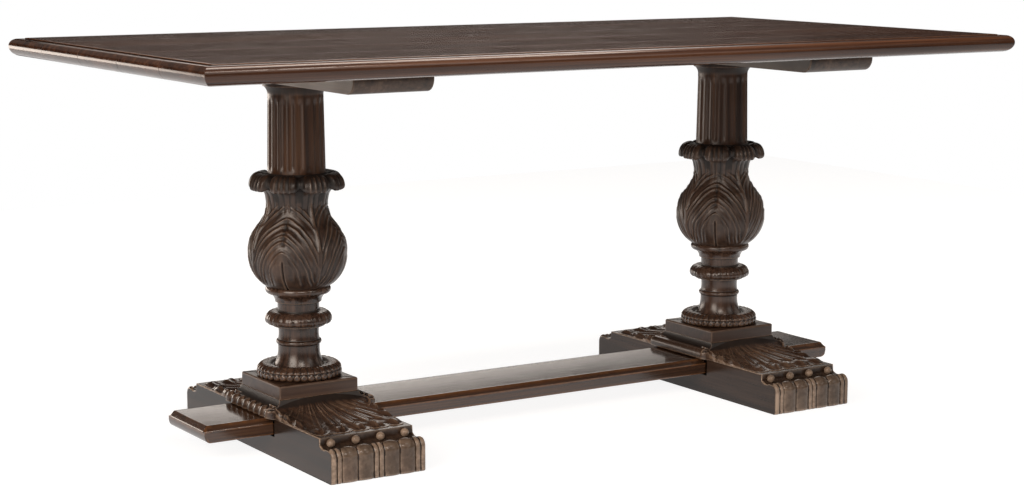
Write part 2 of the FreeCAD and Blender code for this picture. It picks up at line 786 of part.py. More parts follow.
def foot(label):
    """Sled foot: reeded and gadrooned noses with a row of knobs behind, and a slot for the stretcher."""
    body = new_body(label, x=left_x)
    nose_height = size.foot_height - size.nose_drop
    nose_top = foot_half_length - size.nose_round
    nose_back = nose_top - size.nose_crown_width
    nose = [
        (foot_half_length - size.nose_foot_round, 0, size.nose_foot_round),
        (foot_half_length, size.nose_foot_round),
        (foot_half_length, nose_height - size.nose_round, size.nose_round),
        (nose_top, nose_height),
        (nose_back, nose_height, -bow_radius(nose_back - foot_half_top, size.nose_hollow_depth)),
        (foot_half_top, nose_height),
        (foot_half_top, size.foot_height),
    ]
    pad(body, "side", "YZ_Plane", nose + mirrored(nose), size.foot_width)
    # Across the nose run pairs of narrow reeds with pairs of broad lobes between them
    reed_count = 2 * (count.nose_lobe_pair_count + 1)
    lobe_count = 2 * count.nose_lobe_pair_count
    lobe_width = (size.foot_width - reed_count * size.nose_reed_width) / lobe_count
    reed = (size.nose_reed_width, size.nose_reed_bulge)
    lobe = (lobe_width, size.nose_lobe_bulge)
    half_width = size.foot_width / 2
    across = -half_width
    line = size.nose_lobe_bulge - foot_half_length
    near = []
    for width, bulge in [reed, reed] + [lobe, lobe, reed, reed] * count.nose_lobe_pair_count:
        near.append((across, line, bow_radius(width, bulge)))
        across = across + width
    near.append((half_width, line))
    trim(body, "plan", "XY_Plane", near + turned_half(near), size.foot_width, -size.foot_length,
         size.foot_length, 4 * size.foot_height)
    slot = body.newObject("PartDesign::SubtractiveBox", f"{label}_slot")
    slot_width = size.stretcher_width + 2 * size.fit_clearance
    bind(slot, Length=2 * size.foot_width, Width=slot_width, Height=size.stretcher_thickness)
    place(slot, -size.foot_width, -slot_width / 2, stretcher_base)
    for end in (-1, 1):
        for number in range(count.knob_count):
            knob = body.newObject("PartDesign::AdditiveSphere", f"{label}_knob")
            bind(knob, Radius=size.knob_radius)
            place(knob, size.knob_spacing * (number - (count.knob_count - 1) / 2),
                  (foot_half_top + size.knob_offset) * end, nose_height)
    for number, sign in enumerate((-1, 1), start=1):
        y = size.foot_screw_spacing / 2 * sign
        bore(body, f"screw_hole_{number}", size.foot_screw_shank_radius + size.fit_clearance, 0,
             size.foot_height, 0, y)
        bore(body, f"screw_recess_{number}", size.foot_screw_head_radius + size.fit_clearance, 0,
             size.foot_screw_recess, 0, y)
    return body, as_size(0)


for make in (shaft, vase, reel, base_ring, plinth, saddle, foot):
    left_piece, base = make(f"{make.__name__}_left")
    pieces += [left_piece, repeat(left_piece, f"{make.__name__}_right", right_x, base)]

# Stretcher: a long board with chamfered upper edges and rounded ends that lies in the slots of both feet
stretcher = new_body("stretcher", z=stretcher_base)
half_stretcher = size.stretcher_width / 2
edge = [
    (half_stretcher, 0),
    (half_stretcher, size.stretcher_thickness - size.stretcher_chamfer_height),
    (half_stretcher - size.stretcher_chamfer_width, size.stretcher_thickness),
]
pad(stretcher, "section", "YZ_Plane", edge + mirrored(edge), stretcher_length)
half_run = stretcher_length / 2
stretcher_end = [
    (half_run - size.stretcher_end_round, 0, size.stretcher_end_round),
    (half_run, size.stretcher_end_round),
    (half_run, size.stretcher_thickness - size.stretcher_chamfer_height),
    (half_run - size.stretcher_chamfer_width, size.stretcher_thickness),
]
trim(stretcher, "ends", "XZ_Plane", stretcher_end + mirrored(stretcher_end), stretcher_length,
     -size.stretcher_thickness, 2 * size.stretcher_thickness, 2 * size.stretcher_width)

# Screws from under each foot, through the stretcher and into the saddle
foot_screws = []
for side, x in (("left", left_x), ("right", right_x)):
    for number, along in enumerate((-1, 1), start=1):
        y = size.foot_screw_spacing / 2 * along
        bore(stretcher, f"{side}_screw_hole_{number}", size.foot_screw_shank_radius + size.fit_clearance, 0,
             size.stretcher_thickness, x, y)
        head = doc.addObject("Part::Cylinder", f"{side}_foot_screw_head_{number}")
        bind(head, Radius=size.foot_screw_head_radius, Height=size.foot_screw_head_height)
        place(head, x, y, size.foot_screw_recess - size.foot_screw_head_height)
        shank = doc.addObject("Part::Cylinder", f"{side}_foot_screw_shank_{number}")
        bind(shank, Radius=size.foot_screw_shank_radius,
             Height=size.foot_height + size.foot_screw_bite - size.foot_screw_recess)
        place(shank, x, y, size.foot_screw_recess)
        screw = doc.addObject("Part::Fuse", f"{side}_foot_screw_{number}")
        screw.Base = head
        screw.Tool = shank
        foot_screws.append(screw)
foot_screw_group = doc.addObject("Part::Compound", "foot_screws")
foot_screw_group.Links = foot_screws
pieces += [stretcher, foot_screw_group]

doc.recompute()
for item in doc.Objects:
    if "Invalid" in item.State or "Error" in item.State:
        raise RuntimeError(f"{item.Label} did not compute: {item.State} {item.getStatusString()}")
os.makedirs("parts", exist_ok=True)
for piece in pieces:
    shape = Part.getShape(piece)
    if shape.isNull() or not shape.isValid():
        raise RuntimeError(f"{piece.Label} has no valid shape")
    shape.exportStep(f"parts/{piece.Label}.step")
    box = shape.BoundBox
    print(f"{piece.Label}: {len(shape.Solids)} solids, {box.XLength:.1f} x {box.YLength:.1f} x "
          f"{box.ZLength:.1f} mm, from z {box.ZMin:.1f}, {shape.Volume / 1000:.0f} cm3")
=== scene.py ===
import bmesh
import bpy
import numpy as np
from mathutils import Matrix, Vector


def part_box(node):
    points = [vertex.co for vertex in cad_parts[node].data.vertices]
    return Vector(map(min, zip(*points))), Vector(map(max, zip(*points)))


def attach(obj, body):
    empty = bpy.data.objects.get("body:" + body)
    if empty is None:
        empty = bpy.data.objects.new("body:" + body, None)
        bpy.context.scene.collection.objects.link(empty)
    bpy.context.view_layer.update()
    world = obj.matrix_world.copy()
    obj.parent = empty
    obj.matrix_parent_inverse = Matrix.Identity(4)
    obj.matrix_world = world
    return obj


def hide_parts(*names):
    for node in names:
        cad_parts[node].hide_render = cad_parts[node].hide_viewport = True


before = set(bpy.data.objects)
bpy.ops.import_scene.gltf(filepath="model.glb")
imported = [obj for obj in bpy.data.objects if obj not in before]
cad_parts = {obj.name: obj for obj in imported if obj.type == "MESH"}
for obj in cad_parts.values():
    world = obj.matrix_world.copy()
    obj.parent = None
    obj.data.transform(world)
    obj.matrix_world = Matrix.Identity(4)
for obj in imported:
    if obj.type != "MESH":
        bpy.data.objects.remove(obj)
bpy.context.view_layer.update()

# Feet: two sled feet sawn from blocks of dark stained hardwood, with the grain along them. Reeds and broad
# lobes are carved round each nose and end in thumb-shaped domes, and a row of knobs stands in the hollow
# behind. A slot across the middle takes the stretcher.
MM = 0.001


def span(node):
    """Lowest and highest corner of a node of the frame, in millimetres."""
    return np.array(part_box(node)) / MM


def measured(node):
    """Half the width along X, half the length along Y, and the levels of base and top, in millimetres."""
    low, high = span(node)
    return np.array([(high[0] - low[0]) / 2, high[1], low[2], high[2]])


foot_half_width, foot_half_length, foot_height = measured("foot_left")[[0, 1, 3]]
stretcher_half_length, stretcher_half_width, stretcher_base, stretcher_top = measured("stretcher")
foot_arris = 1.5
nose_height = foot_height - 10
nose_ledge = foot_half_length - 52
nose_crown_back = foot_half_length - 28
nose_round = 20
nose_foot_round = 4
slot_half_width = stretcher_half_width + 0.2
lobe_bulge = 6
lobe_width = 32.25
reed_bulge = 4
reed_width = 10.5
dome_start = 11
dome_length = 15
dome_fullness = 0.6
hollow_radius = 22
knob_radius = 8
knob_spacing = 50.5
knob_offset = 6


def traced(corners, step, straight=None, guard=2.5):
    """Points along a run of corners, in millimetres.

    A straight edge leads on from a corner (across, up), in pieces of about `straight`, or else with a point
    at once and three times the guard from both ends, so that wear stays near its edges. From a corner
    (across, up, radius) an arc leads on in pieces of about `step`, and bows out to the right of the way of
    travel where the radius is positive. Points are complex: an arc turns the first spoke about the centre.
    """
    places = [complex(*corner[:2]) for corner in corners]
    runs = []
    for corner, start, end in zip(corners, places[:-1], places[1:]):
        chord = end - start
        if len(corner) == 2:
            cuts = max(1, round(abs(chord) / straight)) if straight else 1
            part = np.arange(cuts) / cuts
            if not straight and abs(chord) > 7 * guard:
                near = guard * np.array([1, 3]) / abs(chord)
                part = np.concatenate([[0], near, 1 - near[::-1]])
            runs.append(start + chord * part)
            continue
        radius = max(abs(corner[2]), abs(chord) / 2)
        turn = np.sign(corner[2])
        left = 1j * chord / abs(chord)
        centre = start + chord / 2 + turn * left * np.sqrt(radius ** 2 - abs(chord) ** 2 / 4)
        sweep = turn * 2 * np.arcsin(abs(chord) / 2 / radius)
        cuts = max(2, round(abs(sweep) * radius / step))
        runs.append(centre + (start - centre) * np.exp(1j * sweep * np.arange(cuts) / cuts))
    whole = np.concatenate(runs + [np.array(places[-1:])])
    return np.stack([whole.real, whole.imag], axis=-1)


def covered(path):
    """Length along a path from its first point to each point."""
    return np.concatenate([[0], np.cumsum(np.hypot(*np.diff(path, axis=0).T))])


def mirrored(half):
    """A closed loop: half an outline, and its mirror image back to the start."""
    return np.concatenate([half, half[::-1] * [-1, 1]])


def outward(path, closed=False):
    """Normals of a path, to the right of the way of travel, longer at a corner to keep its sides parallel.

    At a point it is the mean of the normals of both edges there, divided by the square of its length.
    """
    edge = np.roll(path, -1, axis=0) - path
    edge = edge / np.maximum(np.linalg.norm(edge, axis=1, keepdims=True), 1e-9)
    before = np.roll(edge, 1, axis=0)
    if not closed:
        edge[-1] = edge[-2]
        before[0] = edge[0]
    along = (edge + before) / 2
    normal = np.stack([along[:, 1], -along[:, 0]], axis=-1)
    return normal / np.maximum(np.sum(normal ** 2, axis=1, keepdims=True), 0.4)


# The groove line between the lobes, from under the nose up over it, down into the hollow and on to the slot
groove_front = foot_half_length - lobe_bulge
groove_top = nose_height - lobe_bulge
groove_round = nose_round - lobe_bulge
end_run = traced([
    (groove_front - nose_foot_round, 0, nose_foot_round),
    (groove_front, nose_foot_round),
    (groove_front, groove_top - groove_round, groove_round),
    (groove_front - groove_round, groove_top),
    (nose_crown_back, groove_top, -hollow_radius),
    (nose_ledge + 1, groove_top + 3),
    (nose_ledge, foot_height),
    (slot_half_width, foot_height),
    (slot_half_width, stretcher_base),
], 1.2)
run_length = covered(end_run)
over_nose = run_length - run_length[np.argmax(end_run[:, 1] >= groove_top - groove_round - 0.01)]
over_nose = np.concatenate([over_nose, over_nose[::-1]])
foot_loop = mirrored(end_run)
foot_normal = outward(foot_loop, closed=True)
foot_normal[foot_loop[:, 1] < nose_foot_round, 1] = 0


def rounded_stations(low, high, rounding, between=(), guard=2.5):
    """Stations from low to high and how far a surface stands back at each, for arrises of that rounding.

    Each end has a ring on its flat face, then a quarter-round, and a guard station where the flat begins.
    """
    turn = np.linspace(0, np.pi / 2, 5)
    rise = np.concatenate([[0], rounding * (1 - np.cos(turn)), [rounding + guard]])
    back = np.concatenate([[rounding + guard], rounding * (1 - np.sin(turn)), [0]])
    stations = np.concatenate([low + rise, between, high - rise[::-1]])
    return stations, np.concatenate([back, np.zeros(len(between)), back[::-1]])


def grid_faces(rows, columns, ring=False, loop=False):
    """Four-sided faces of a grid numbered row by row.

    A ring joins the last column to the first, with one face over each end row. A loop joins the last row to
    the first, with one face over each end column.
    """
    number = np.arange(rows * columns).reshape(rows, columns)
    below = np.roll(number, -1, axis=0)
    corners = [number, np.roll(number, -1, axis=1), np.roll(below, -1, axis=1), below]
    faces = np.stack(corners, axis=-1)[:None if loop else -1, :None if ring else -1]
    ends = []
    if ring:
        ends = [number[0], number[-1]]
    if loop:
        ends = [number[:, 0], number[:, -1]]
    return faces.reshape(-1, 4).tolist() + [end.tolist() for end in ends]


def carried(loop, relief, normal):
    """A closed loop carried across stations, with both ends closed.

    The surface stands out from the loop along its normal by the relief, an array of loop points by stations.
    Gives both coordinates of the loop's plane, and the faces.
    """
    first, second = (loop[:, axis, None] + normal[:, axis, None] * relief for axis in (0, 1))
    return first, second, grid_faces(*relief.shape, loop=True)


def gridded(x, y, z):
    """Points of a grid from its coordinates, each given for all points, or for rows or columns alone."""
    return np.stack(np.broadcast_arrays(x, y, z), axis=-1)


# Across the nose: pairs of reeds with pairs of lobes between them
nose_stations = 235
widths = np.array([reed_width, reed_width] + [lobe_width, lobe_width, reed_width, reed_width] * 2, float)
bulges = np.where(widths == reed_width, reed_bulge, lobe_bulge)
edges = np.concatenate([[0], np.cumsum(widths)]) - foot_half_width
carved_half_width = foot_half_width - 4.6
across_nose = np.linspace(-carved_half_width, carved_half_width, nose_stations)
foot_x, foot_inset = rounded_stations(-foot_half_width, foot_half_width, foot_arris, across_nose)
member = np.clip(np.searchsorted(edges, foot_x, side="right") - 1, 0, len(widths) - 1)
aside = (foot_x - (edges[member] + widths[member] / 2)) / (widths[member] / 2)
past = np.clip((over_nose - dome_start) / dome_length, 0, None)
fullness = np.clip(1 - aside[None, :] ** 2 - past[:, None] ** 2, 0, 1) ** dome_fullness
on_nose = (np.abs(foot_loop[:, 0]) > nose_crown_back - 2)[:, None]
foot_relief = bulges[member][None, :] * fullness * on_nose - foot_inset[None, :]
foot_y, foot_z, foot_faces = carried(foot_loop, foot_relief, foot_normal)
foot_points = gridded(foot_x, foot_y, np.maximum(foot_z, 0))


def around(turns):
    """Even angles round a full circle."""
    return np.linspace(0, 2 * np.pi, turns, endpoint=False)


def ball(centre, radius, rings=13, turns=24):
    """A ball: rings of points from near one pole to near the other, with the small end rings closed."""
    rise = np.linspace(-0.47, 0.47, rings)[:, None] * np.pi
    flat = np.cos(rise)
    points = gridded(flat * np.cos(around(turns)), flat * np.sin(around(turns)), np.sin(rise))
    return np.asarray(centre) + radius * points, grid_faces(rings, turns, ring=True)


def joined(shells):
    """Several closed shells, each of points and faces, as one list of points and one of faces."""
    points = []
    faces = []
    count = 0
    for shell_points, shell_faces in shells:
        points.append(np.reshape(shell_points, (-1, 3)))
        faces += [[corner + count for corner in face] for face in shell_faces]
        count += len(points[-1])
    return np.concatenate(points), faces


knob_places = [
    (knob_spacing * place, end * (nose_ledge + knob_offset), nose_height)
    for end in (-1, 1) for place in (-1.5, -0.5, 0.5, 1.5)
]
body_count = foot_x.size * len(foot_loop)
foot_shells = [(foot_points, foot_faces)] + [ball(place, knob_radius) for place in knob_places]
foot_points, foot_faces = joined(foot_shells)


def linear(code):
    """An sRGB hex colour as linear red, green and blue with full opacity."""
    shade = np.array([int(code[place:place + 2], 16) for place in (1, 3, 5)]) / 255
    shade = np.where(shade > 0.04045, ((shade + 0.055) / 1.055) ** 2.4, shade / 12.92)
    return (*shade.tolist(), 1.0)


def emptied(owner):
    """The node tree of a material or a world, with nothing in it yet."""
    owner.use_nodes = True
    owner.node_tree.nodes.clear()
    return owner.node_tree


def add_node(tree, kind, settings, inputs):
    """One node of a material: its kind, its settings, and its inputs, each a value or an output to link."""
    node = tree.nodes.new("ShaderNode" + kind)
    for name, value in settings.items():
        setattr(node, name, value)
    for name, value in inputs.items():
        if isinstance(value, bpy.types.NodeSocket):
            tree.links.new(value, node.inputs[name])
        else:
            node.inputs[name].default_value = value
    return node


smooth_range = {"interpolation_type": "SMOOTHSTEP"}
range_inputs = ("Value", "From Min", "From Max", "To Min", "To Max")


def waxed_hardwood(name, grain, shades, rubbed, gloss, figure=70, fibre=(7, 260), shine=0.4, wear=0.6):
    """Dark stained hardwood under old wax, in its dark, middle and light shades.

    Streaks of the figure's width, fibres and short pores run along the grain axis, 0, 1 or 2 for X, Y or Z,
    with sizes across and along it in millimetres. Real fibres and pores are too fine to show, so these are
    about eight times as coarse. The mesh's own `wear_and_painted_light` attribute darkens hollows, where wax
    and dust stay, and places painted shade; it bares the rubbed shade on what stands out, up to the wear, and
    places painted highlights the same way. `tone` shifts the pattern from piece to piece.
    Gloss is the roughness of the wax and shine its strength.
    """
    pattern_sizes = {
        "streak": (figure, 900),
        "fibre": fibre,
        "pore": (2.4, 38),
        "patch": (85, 85),
        "speck": (9, 9),
    }
    pattern_share = 0.45
    pore_shade = 0.35
    pore_sink = -2.0
    pore_depth = 0.5
    dust_and_painted_shade_share = 0.85
    dust_dulling = 0.3
    wax_bump = 0.2
    wax_ior = 1.48
    material = bpy.data.materials.new(name)
    tree = emptied(material)
    place = add_node(tree, "TexCoord", {}, {}).outputs["Object"]
    tone = add_node(tree, "Attribute", {"attribute_name": "tone"}, {}).outputs["Fac"]
    wear_and_painted_light = add_node(tree, "Attribute", {"attribute_name": "wear_and_painted_light"}, {}).outputs["Fac"]
    noise = {}
    for pattern, (across, along) in pattern_sizes.items():
        scale = np.full(3, 1 / (across * MM))
        scale[grain] = 1 / (along * MM)
        scaled = add_node(tree, "Mapping", {}, {"Vector": place, "Scale": scale.tolist()}).outputs[0]
        inputs = {"Vector": scaled, "W": tone, "Scale": 1.0, "Detail": 4.0, "Roughness": 0.6}
        noise[pattern] = add_node(tree, "TexNoise", {"noise_dimensions": "4D"}, inputs).outputs[0]
    both = {}
    for first, second in (("streak", "fibre"), ("speck", "patch")):
        inputs = {0: pattern_share, 2: noise[first], 3: noise[second]}
        both[first] = add_node(tree, "Mix", {"data_type": "FLOAT"}, inputs).outputs[0]

    # How far each layer shows, from the limits of its pattern. The wax is a little duller in some patches
    ranges = {
        "lifted": (both["streak"], 0.38, 0.51, 0.0, 1.0),
        "lightest": (both["streak"], 0.49, 0.63, 0.0, 1.0),
        "pores": (noise["pore"], 0.40, 0.30, 0.0, pore_shade),
        "hollow": (wear_and_painted_light, 0.47, 0.18, 0.0, dust_and_painted_shade_share),
        "bared": (wear_and_painted_light, 0.58, 1.0, 0.0, 1.0),
        "broken": (both["speck"], 0.40, 0.60, wear / 2, wear),
        "rough": (noise["patch"], 0.3, 0.7, 0.93 * gloss, 1.12 * gloss),
    }
    shown = {}
    for layer, limits in ranges.items():
        inputs = dict(zip(range_inputs, limits))
        shown[layer] = add_node(tree, "MapRange", smooth_range, inputs).outputs[0]
    inputs = {0: shown["bared"], 1: shown["broken"]}
    shown["rubbing_and_painted_highlight"] = add_node(tree, "Math", {"operation": "MULTIPLY"}, inputs).outputs[0]

    # Streaks and fibres lead from the dark over the middle to the light shade, and pores are dark. Hollows
    # hold dark wax and dust, and what stands out is rubbed in broken patches. The same two layers also carry
    # the painted shade and painted highlights that a piece adds to its attribute
    colour, middle, light = (linear(shade) for shade in shades)
    layers = {
        "lifted": middle,
        "lightest": light,
        "pores": colour,
        "hollow": linear("#0d0806"),
        "rubbing_and_painted_highlight": linear(rubbed),
    }
    for layer, shade in layers.items():
        inputs = {0: shown[layer], 6: colour, 7: shade}
        colour = add_node(tree, "Mix", {"data_type": "RGBA"}, inputs).outputs[2]

    # The wax is dull in hollows, and broken by fibres and sunk pores
    sum_of = {"operation": "MULTIPLY_ADD"}
    rough = add_node(tree, "Math", sum_of, {0: shown["hollow"], 1: dust_dulling, 2: shown["rough"]})
    sunk = add_node(tree, "Math", sum_of, {0: shown["pores"], 1: pore_sink, 2: noise["fibre"]})
    inputs = {"Height": sunk.outputs[0], "Strength": wax_bump, "Distance": pore_depth * MM}
    bump = add_node(tree, "Bump", {}, inputs)
    inputs = {"Base Color": colour, "Roughness": rough.outputs[0], "Normal": bump.outputs[0]}
    inputs.update({"IOR": wax_ior, "Specular IOR Level": shine})
    shader = add_node(tree, "BsdfPrincipled", {}, inputs)
    add_node(tree, "OutputMaterial", {}, {"Surface": shader.outputs[0]})
    return material


# Worn wax over nearly black wood, with pale brown bared on the domes and knobs. The knobs are painted paler
# still, partly as wear and partly as a painted highlight
foot_wood = waxed_hardwood("carved_hardwood_worn_wax", 1, ("#1f1610", "#2d2018", "#3d2e25"), "#a28d7b", 0.2,
                           shine=0.3, wear=0.75)


def eased(value, low, high):
    """Smooth step from 0 at `low` to 1 at `high`: three times the square less twice the cube."""
    part = np.clip((value - low) / (high - low), 0, 1)
    return part * part * (3 - 2 * part)


nose_rubbed = 0.16
crown_rubbed = 0.03
# The knobs are painted paler, partly as wear and partly as a painted highlight
knob_wear_and_painted_highlight = 0.38
# Painted shade: the flat sides of each foot are painted darker
side_painted_shade = 0.1
from_middle = np.abs(foot_points[:, 1])
foot_wear_and_painted_light = nose_rubbed * eased(from_middle, nose_ledge - 4, nose_ledge - 1)
foot_wear_and_painted_light = foot_wear_and_painted_light + crown_rubbed * eased(from_middle, nose_crown_back, nose_crown_back + 6)
foot_wear_and_painted_light[np.abs(foot_points[:, 0]) > foot_half_width - 0.01] = -side_painted_shade
foot_wear_and_painted_light[body_count:] = knob_wear_and_painted_highlight


def mark_wear(mesh, reach, dust_and_painted_light):
    """Stores how far each point stands out from its surroundings as the attribute `wear_and_painted_light`.

    Flat wood is 0.5, a hollow tends to 0 and a raised edge to 1: half plus `reach` times the mean bend in
    1/mm, less `dust_and_painted_light`, which is dust and painted shade where positive, and wear and painted
    highlights where negative. The bend is the drop of each neighbour below the point's tangent plane,
    doubled, over its squared distance, averaged with near neighbours counting more. Where a point has no edge
    longer than the finest flat, it is smoothed twice along its edges.
    """
    finest_flat = 6
    count = len(mesh.vertices)
    places = np.empty(count * 3)
    mesh.vertices.foreach_get("co", places)
    places = places.reshape(-1, 3) / MM
    normals = np.empty(count * 3)
    mesh.vertex_normals.foreach_get("vector", normals)
    normals = normals.reshape(-1, 3)
    edges = np.empty(len(mesh.edges) * 2, int)
    mesh.edges.foreach_get("vertices", edges)
    start, end = edges.reshape(-1, 2).T
    here = np.concatenate([start, end])
    there = np.concatenate([end, start])
    step = places[there] - places[here]
    length = np.linalg.norm(step, axis=1) + 1e-6
    longest = np.zeros(count)
    np.maximum.at(longest, here, length)
    weight = 1 / length
    total = np.bincount(here, weight, count)
    bend = -2 * np.sum(normals[here] * step, axis=1) / length ** 2
    bend = np.bincount(here, weight * bend, count) / total
    for smoothing in range(2):
        near = np.bincount(here, weight * bend[there], count) / total
        bend = np.where(longest < finest_flat, (bend + near) / 2, bend)
    # The value taken off here is dust and painted shade where positive, and wear and painted highlights where
    # negative
    wear_and_painted_light = np.clip(0.5 + reach * bend - dust_and_painted_light, 0, 1)
    mesh.attributes.new("wear_and_painted_light", "FLOAT", "POINT").data.foreach_set("value", wear_and_painted_light)


def new_piece(name, points, faces, material, tone, reach=2.0, dust_and_painted_light=0.0):
    """A mesh object of points in mm, faces outwards, smooth up to a crease, with its wear and painted light.
    """
    crease = np.radians(40)
    mesh = bpy.data.meshes.new(name)
    mesh.from_pydata(np.reshape(points, (-1, 3)) * MM, [], faces)
    shell = bmesh.new()
    shell.from_mesh(mesh)
    bmesh.ops.recalc_face_normals(shell, faces=shell.faces)
    shell.to_mesh(mesh)
    shell.free()
    mesh.shade_smooth()
    mesh.set_sharp_from_angle(angle=crease)
    mesh.materials.append(material)
    mark_wear(mesh, reach, dust_and_painted_light)
    tones = np.full(len(mesh.vertices), float(tone))
    mesh.attributes.new("tone", "FLOAT", "POINT").data.foreach_set("value", tones)
    piece = bpy.data.objects.new(name, mesh)
    bpy.context.scene.collection.objects.link(piece)
    return piece


def placed(side, points):
    """Points given about a pedestal's own axis, put in place, and turned half round on the right."""
    axis = span(f"foot_{side}")[:, 0].mean()
    facing = {"left": 1, "right": -1}[side]
    return np.reshape(points, (-1, 3)) * [facing, facing, 1] + [axis, 0, 0]


for side, tone in (("left", 1.3), ("right", 3.4)):
    foot = new_piece(f"foot_{side}_carved", placed(side, foot_points), foot_faces, foot_wood, tone,
                     reach=1.4, dust_and_painted_light=-foot_wear_and_painted_light)
    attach(foot, "root")
    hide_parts(f"foot_{side}")

# Stretcher: one long hardwood board let into the slots of both feet, with the grain along it. Its upper edges
# are chamfered, its ends are rounded below, and years of shoes have worn its top a little hollow.
chamfer_width = 8
chamfer_height = 10
chamfer_round = 4
stretcher_end_round = 14
stretcher_end_run = 18
edge_rounding = 1.5
shoe_wear = 0.5
plane_waver = 0.5
stretcher_flat = stretcher_half_width - chamfer_width - 1
stretcher_half = traced([
    (stretcher_half_width - edge_rounding, stretcher_base, edge_rounding),
    (stretcher_half_width, stretcher_base + edge_rounding),
    (stretcher_half_width, stretcher_top - chamfer_height - 1, chamfer_round),
    (stretcher_half_width - 1, stretcher_top - chamfer_height + 1),
    (stretcher_half_width - chamfer_width + 1, stretcher_top - 1, chamfer_round),
    (stretcher_flat, stretcher_top),
    (stretcher_flat * 2 / 3, stretcher_top),
    (stretcher_flat / 3, stretcher_top),
    (0, stretcher_top),
], 0.6)[:-1]
off_middle = np.minimum(stretcher_half[:, 0] / stretcher_flat, 1)
near_top = eased(stretcher_half[:, 1], stretcher_top - chamfer_height, stretcher_top - chamfer_height / 2)
stretcher_half[:, 1] -= shoe_wear * (1 - off_middle ** 2) * near_top
stretcher_loop = mirrored(stretcher_half)

# Along it: close stations towards both ends, where the underside curves up and the top is chamfered
end_stations = 17
middle_stations = 40
end_curve = stretcher_half_length - stretcher_end_run * np.cos(np.linspace(0, np.pi / 2, end_stations))
middle_run = np.linspace(-end_curve[0], end_curve[0], middle_stations)
stretcher_x = np.concatenate([-end_curve[::-1], middle_run[1:-1], end_curve])
from_end = stretcher_half_length - np.abs(stretcher_x)
under = np.clip(1 - from_end / stretcher_end_round, 0, 1)
lowest = stretcher_base + stretcher_end_round * (1 - np.sqrt(1 - under ** 2))
highest = stretcher_top - np.clip(1 - from_end / chamfer_width, 0, 1) * chamfer_height
stretcher_z = np.clip(stretcher_loop[:, 1, None], lowest, highest)
waver = plane_waver * np.sin(stretcher_x / 97) * np.sin(stretcher_x / 41 + 1)
side_waver = np.sign(stretcher_loop[:, 0, None]) * np.minimum(waver, 0) * (from_end > stretcher_end_run + 2)
stretcher_points = gridded(stretcher_x, stretcher_loop[:, 0, None] + side_waver, stretcher_z)
stretcher_faces = grid_faces(*stretcher_z.shape, loop=True)

# Wax that shoes have polished: the lit wall shows in the top, and warm brown along the edges
stretcher_wood = waxed_hardwood("rubbed_hardwood_board", 0, ("#23170f", "#352318", "#463022"), "#6f492c",
                                0.14, 45, (5, 320), 0.75)
stretcher = new_piece("stretcher_board", stretcher_points, stretcher_faces, stretcher_wood, 5.2)
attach(stretcher, "root")
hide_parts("stretcher")

# Saddles: hardwood blocks between foot and plinth. A leaf is carved down the slope at each end, with fingers
# that fan out from under the plinth. Along the outer side runs a roll of gadroons, and along the inner side a
# plain roll. Screws from below hold saddle, stretcher and foot together.


def lobes(place, pitch):
    """How far each place is from the middle of its lobe, from 0 there to 1 at the grooves beside it."""
    return np.abs((place / pitch + 0.5) % 1 - 0.5) * 2


roll_reach, saddle_half_length, saddle_base, saddle_top = measured("saddle_left")
saddle_height = saddle_top - saddle_base
roll_half_length = 96
crown_half_width = 83
gadroon_pitch = 24
gadroon_bulge = 8
gadroon_lean = 7
roll_straight = 12
roll_dome = 11
roll_end_round = 10
leaf_start = 82
leaf_half_root = 99
leaf_half_toe = 95
leaf_toe = 4
leaf_cove = 10
leaf_thinnest = 1.2
fan_centre = 20
fan_reach = np.radians(66)
finger_count = 13
finger_depth = 5.5
flutes_per_finger = 3
flute_cut = 2.4
tip_depth = 11
tip_curl = 5
tip_drop = 2.5
leaflet_rows = 2.6
leaflet_step = 1.8
block_drop = 16
roll_stations = 241

# The block with its rolls: the groove line between the gadroons up one side, and the cove under the plinth
roll_line = roll_reach - gadroon_bulge
roll_side = traced([
    (roll_line - 3, saddle_base, 4),
    (roll_line, saddle_base + 4),
    (roll_line, saddle_base + 10, 12),
    (roll_line - 5, saddle_base + 19, -16),
    (crown_half_width, saddle_top),
], 1.0, 1.5)
roll_climb = covered(roll_side)
roll_climb = np.concatenate([roll_climb, roll_climb[::-1]])[:, None]
saddle_loop = mirrored(roll_side)
saddle_normal = outward(saddle_loop, closed=True)
saddle_normal[saddle_loop[:, 1] < saddle_base + 4] *= [1, 0]
saddle_normal[saddle_loop[:, 1] > saddle_top - 1] = 0
saddle_y = np.linspace(-roll_half_length, roll_half_length, roll_stations)
outer = (saddle_loop[:, 0] < 0)[:, None]
lean = gadroon_lean * roll_climb / (roll_straight + roll_dome)
from_lobe = lobes(saddle_y[None, :] + lean - gadroon_pitch / 2, gadroon_pitch) * outer
past_lobe = np.clip((roll_climb - roll_straight) / roll_dome, 0, None)
saddle_relief = gadroon_bulge * np.sqrt(np.clip(1 - from_lobe ** 2 - past_lobe ** 2, 0, 1))
near_end = np.clip((np.abs(saddle_y) - roll_half_length + roll_end_round) / roll_end_round, 0, 1)
end_inset = roll_end_round * (1 - np.sqrt(1 - near_end ** 2))
below_crown = eased(roll_climb, roll_climb.max(), roll_climb.max() - 8)
saddle_relief = saddle_relief - end_inset[None, :] * below_crown
saddle_x, saddle_z, block_faces = carried(saddle_loop, saddle_relief, saddle_normal)
sunk_under_leaf = block_drop * eased(np.abs(saddle_y), leaf_start, leaf_start + 8)
saddle_z = np.clip(saddle_z, saddle_base, saddle_top - sunk_under_leaf)
block_points = gridded(saddle_x, saddle_y, saddle_z)


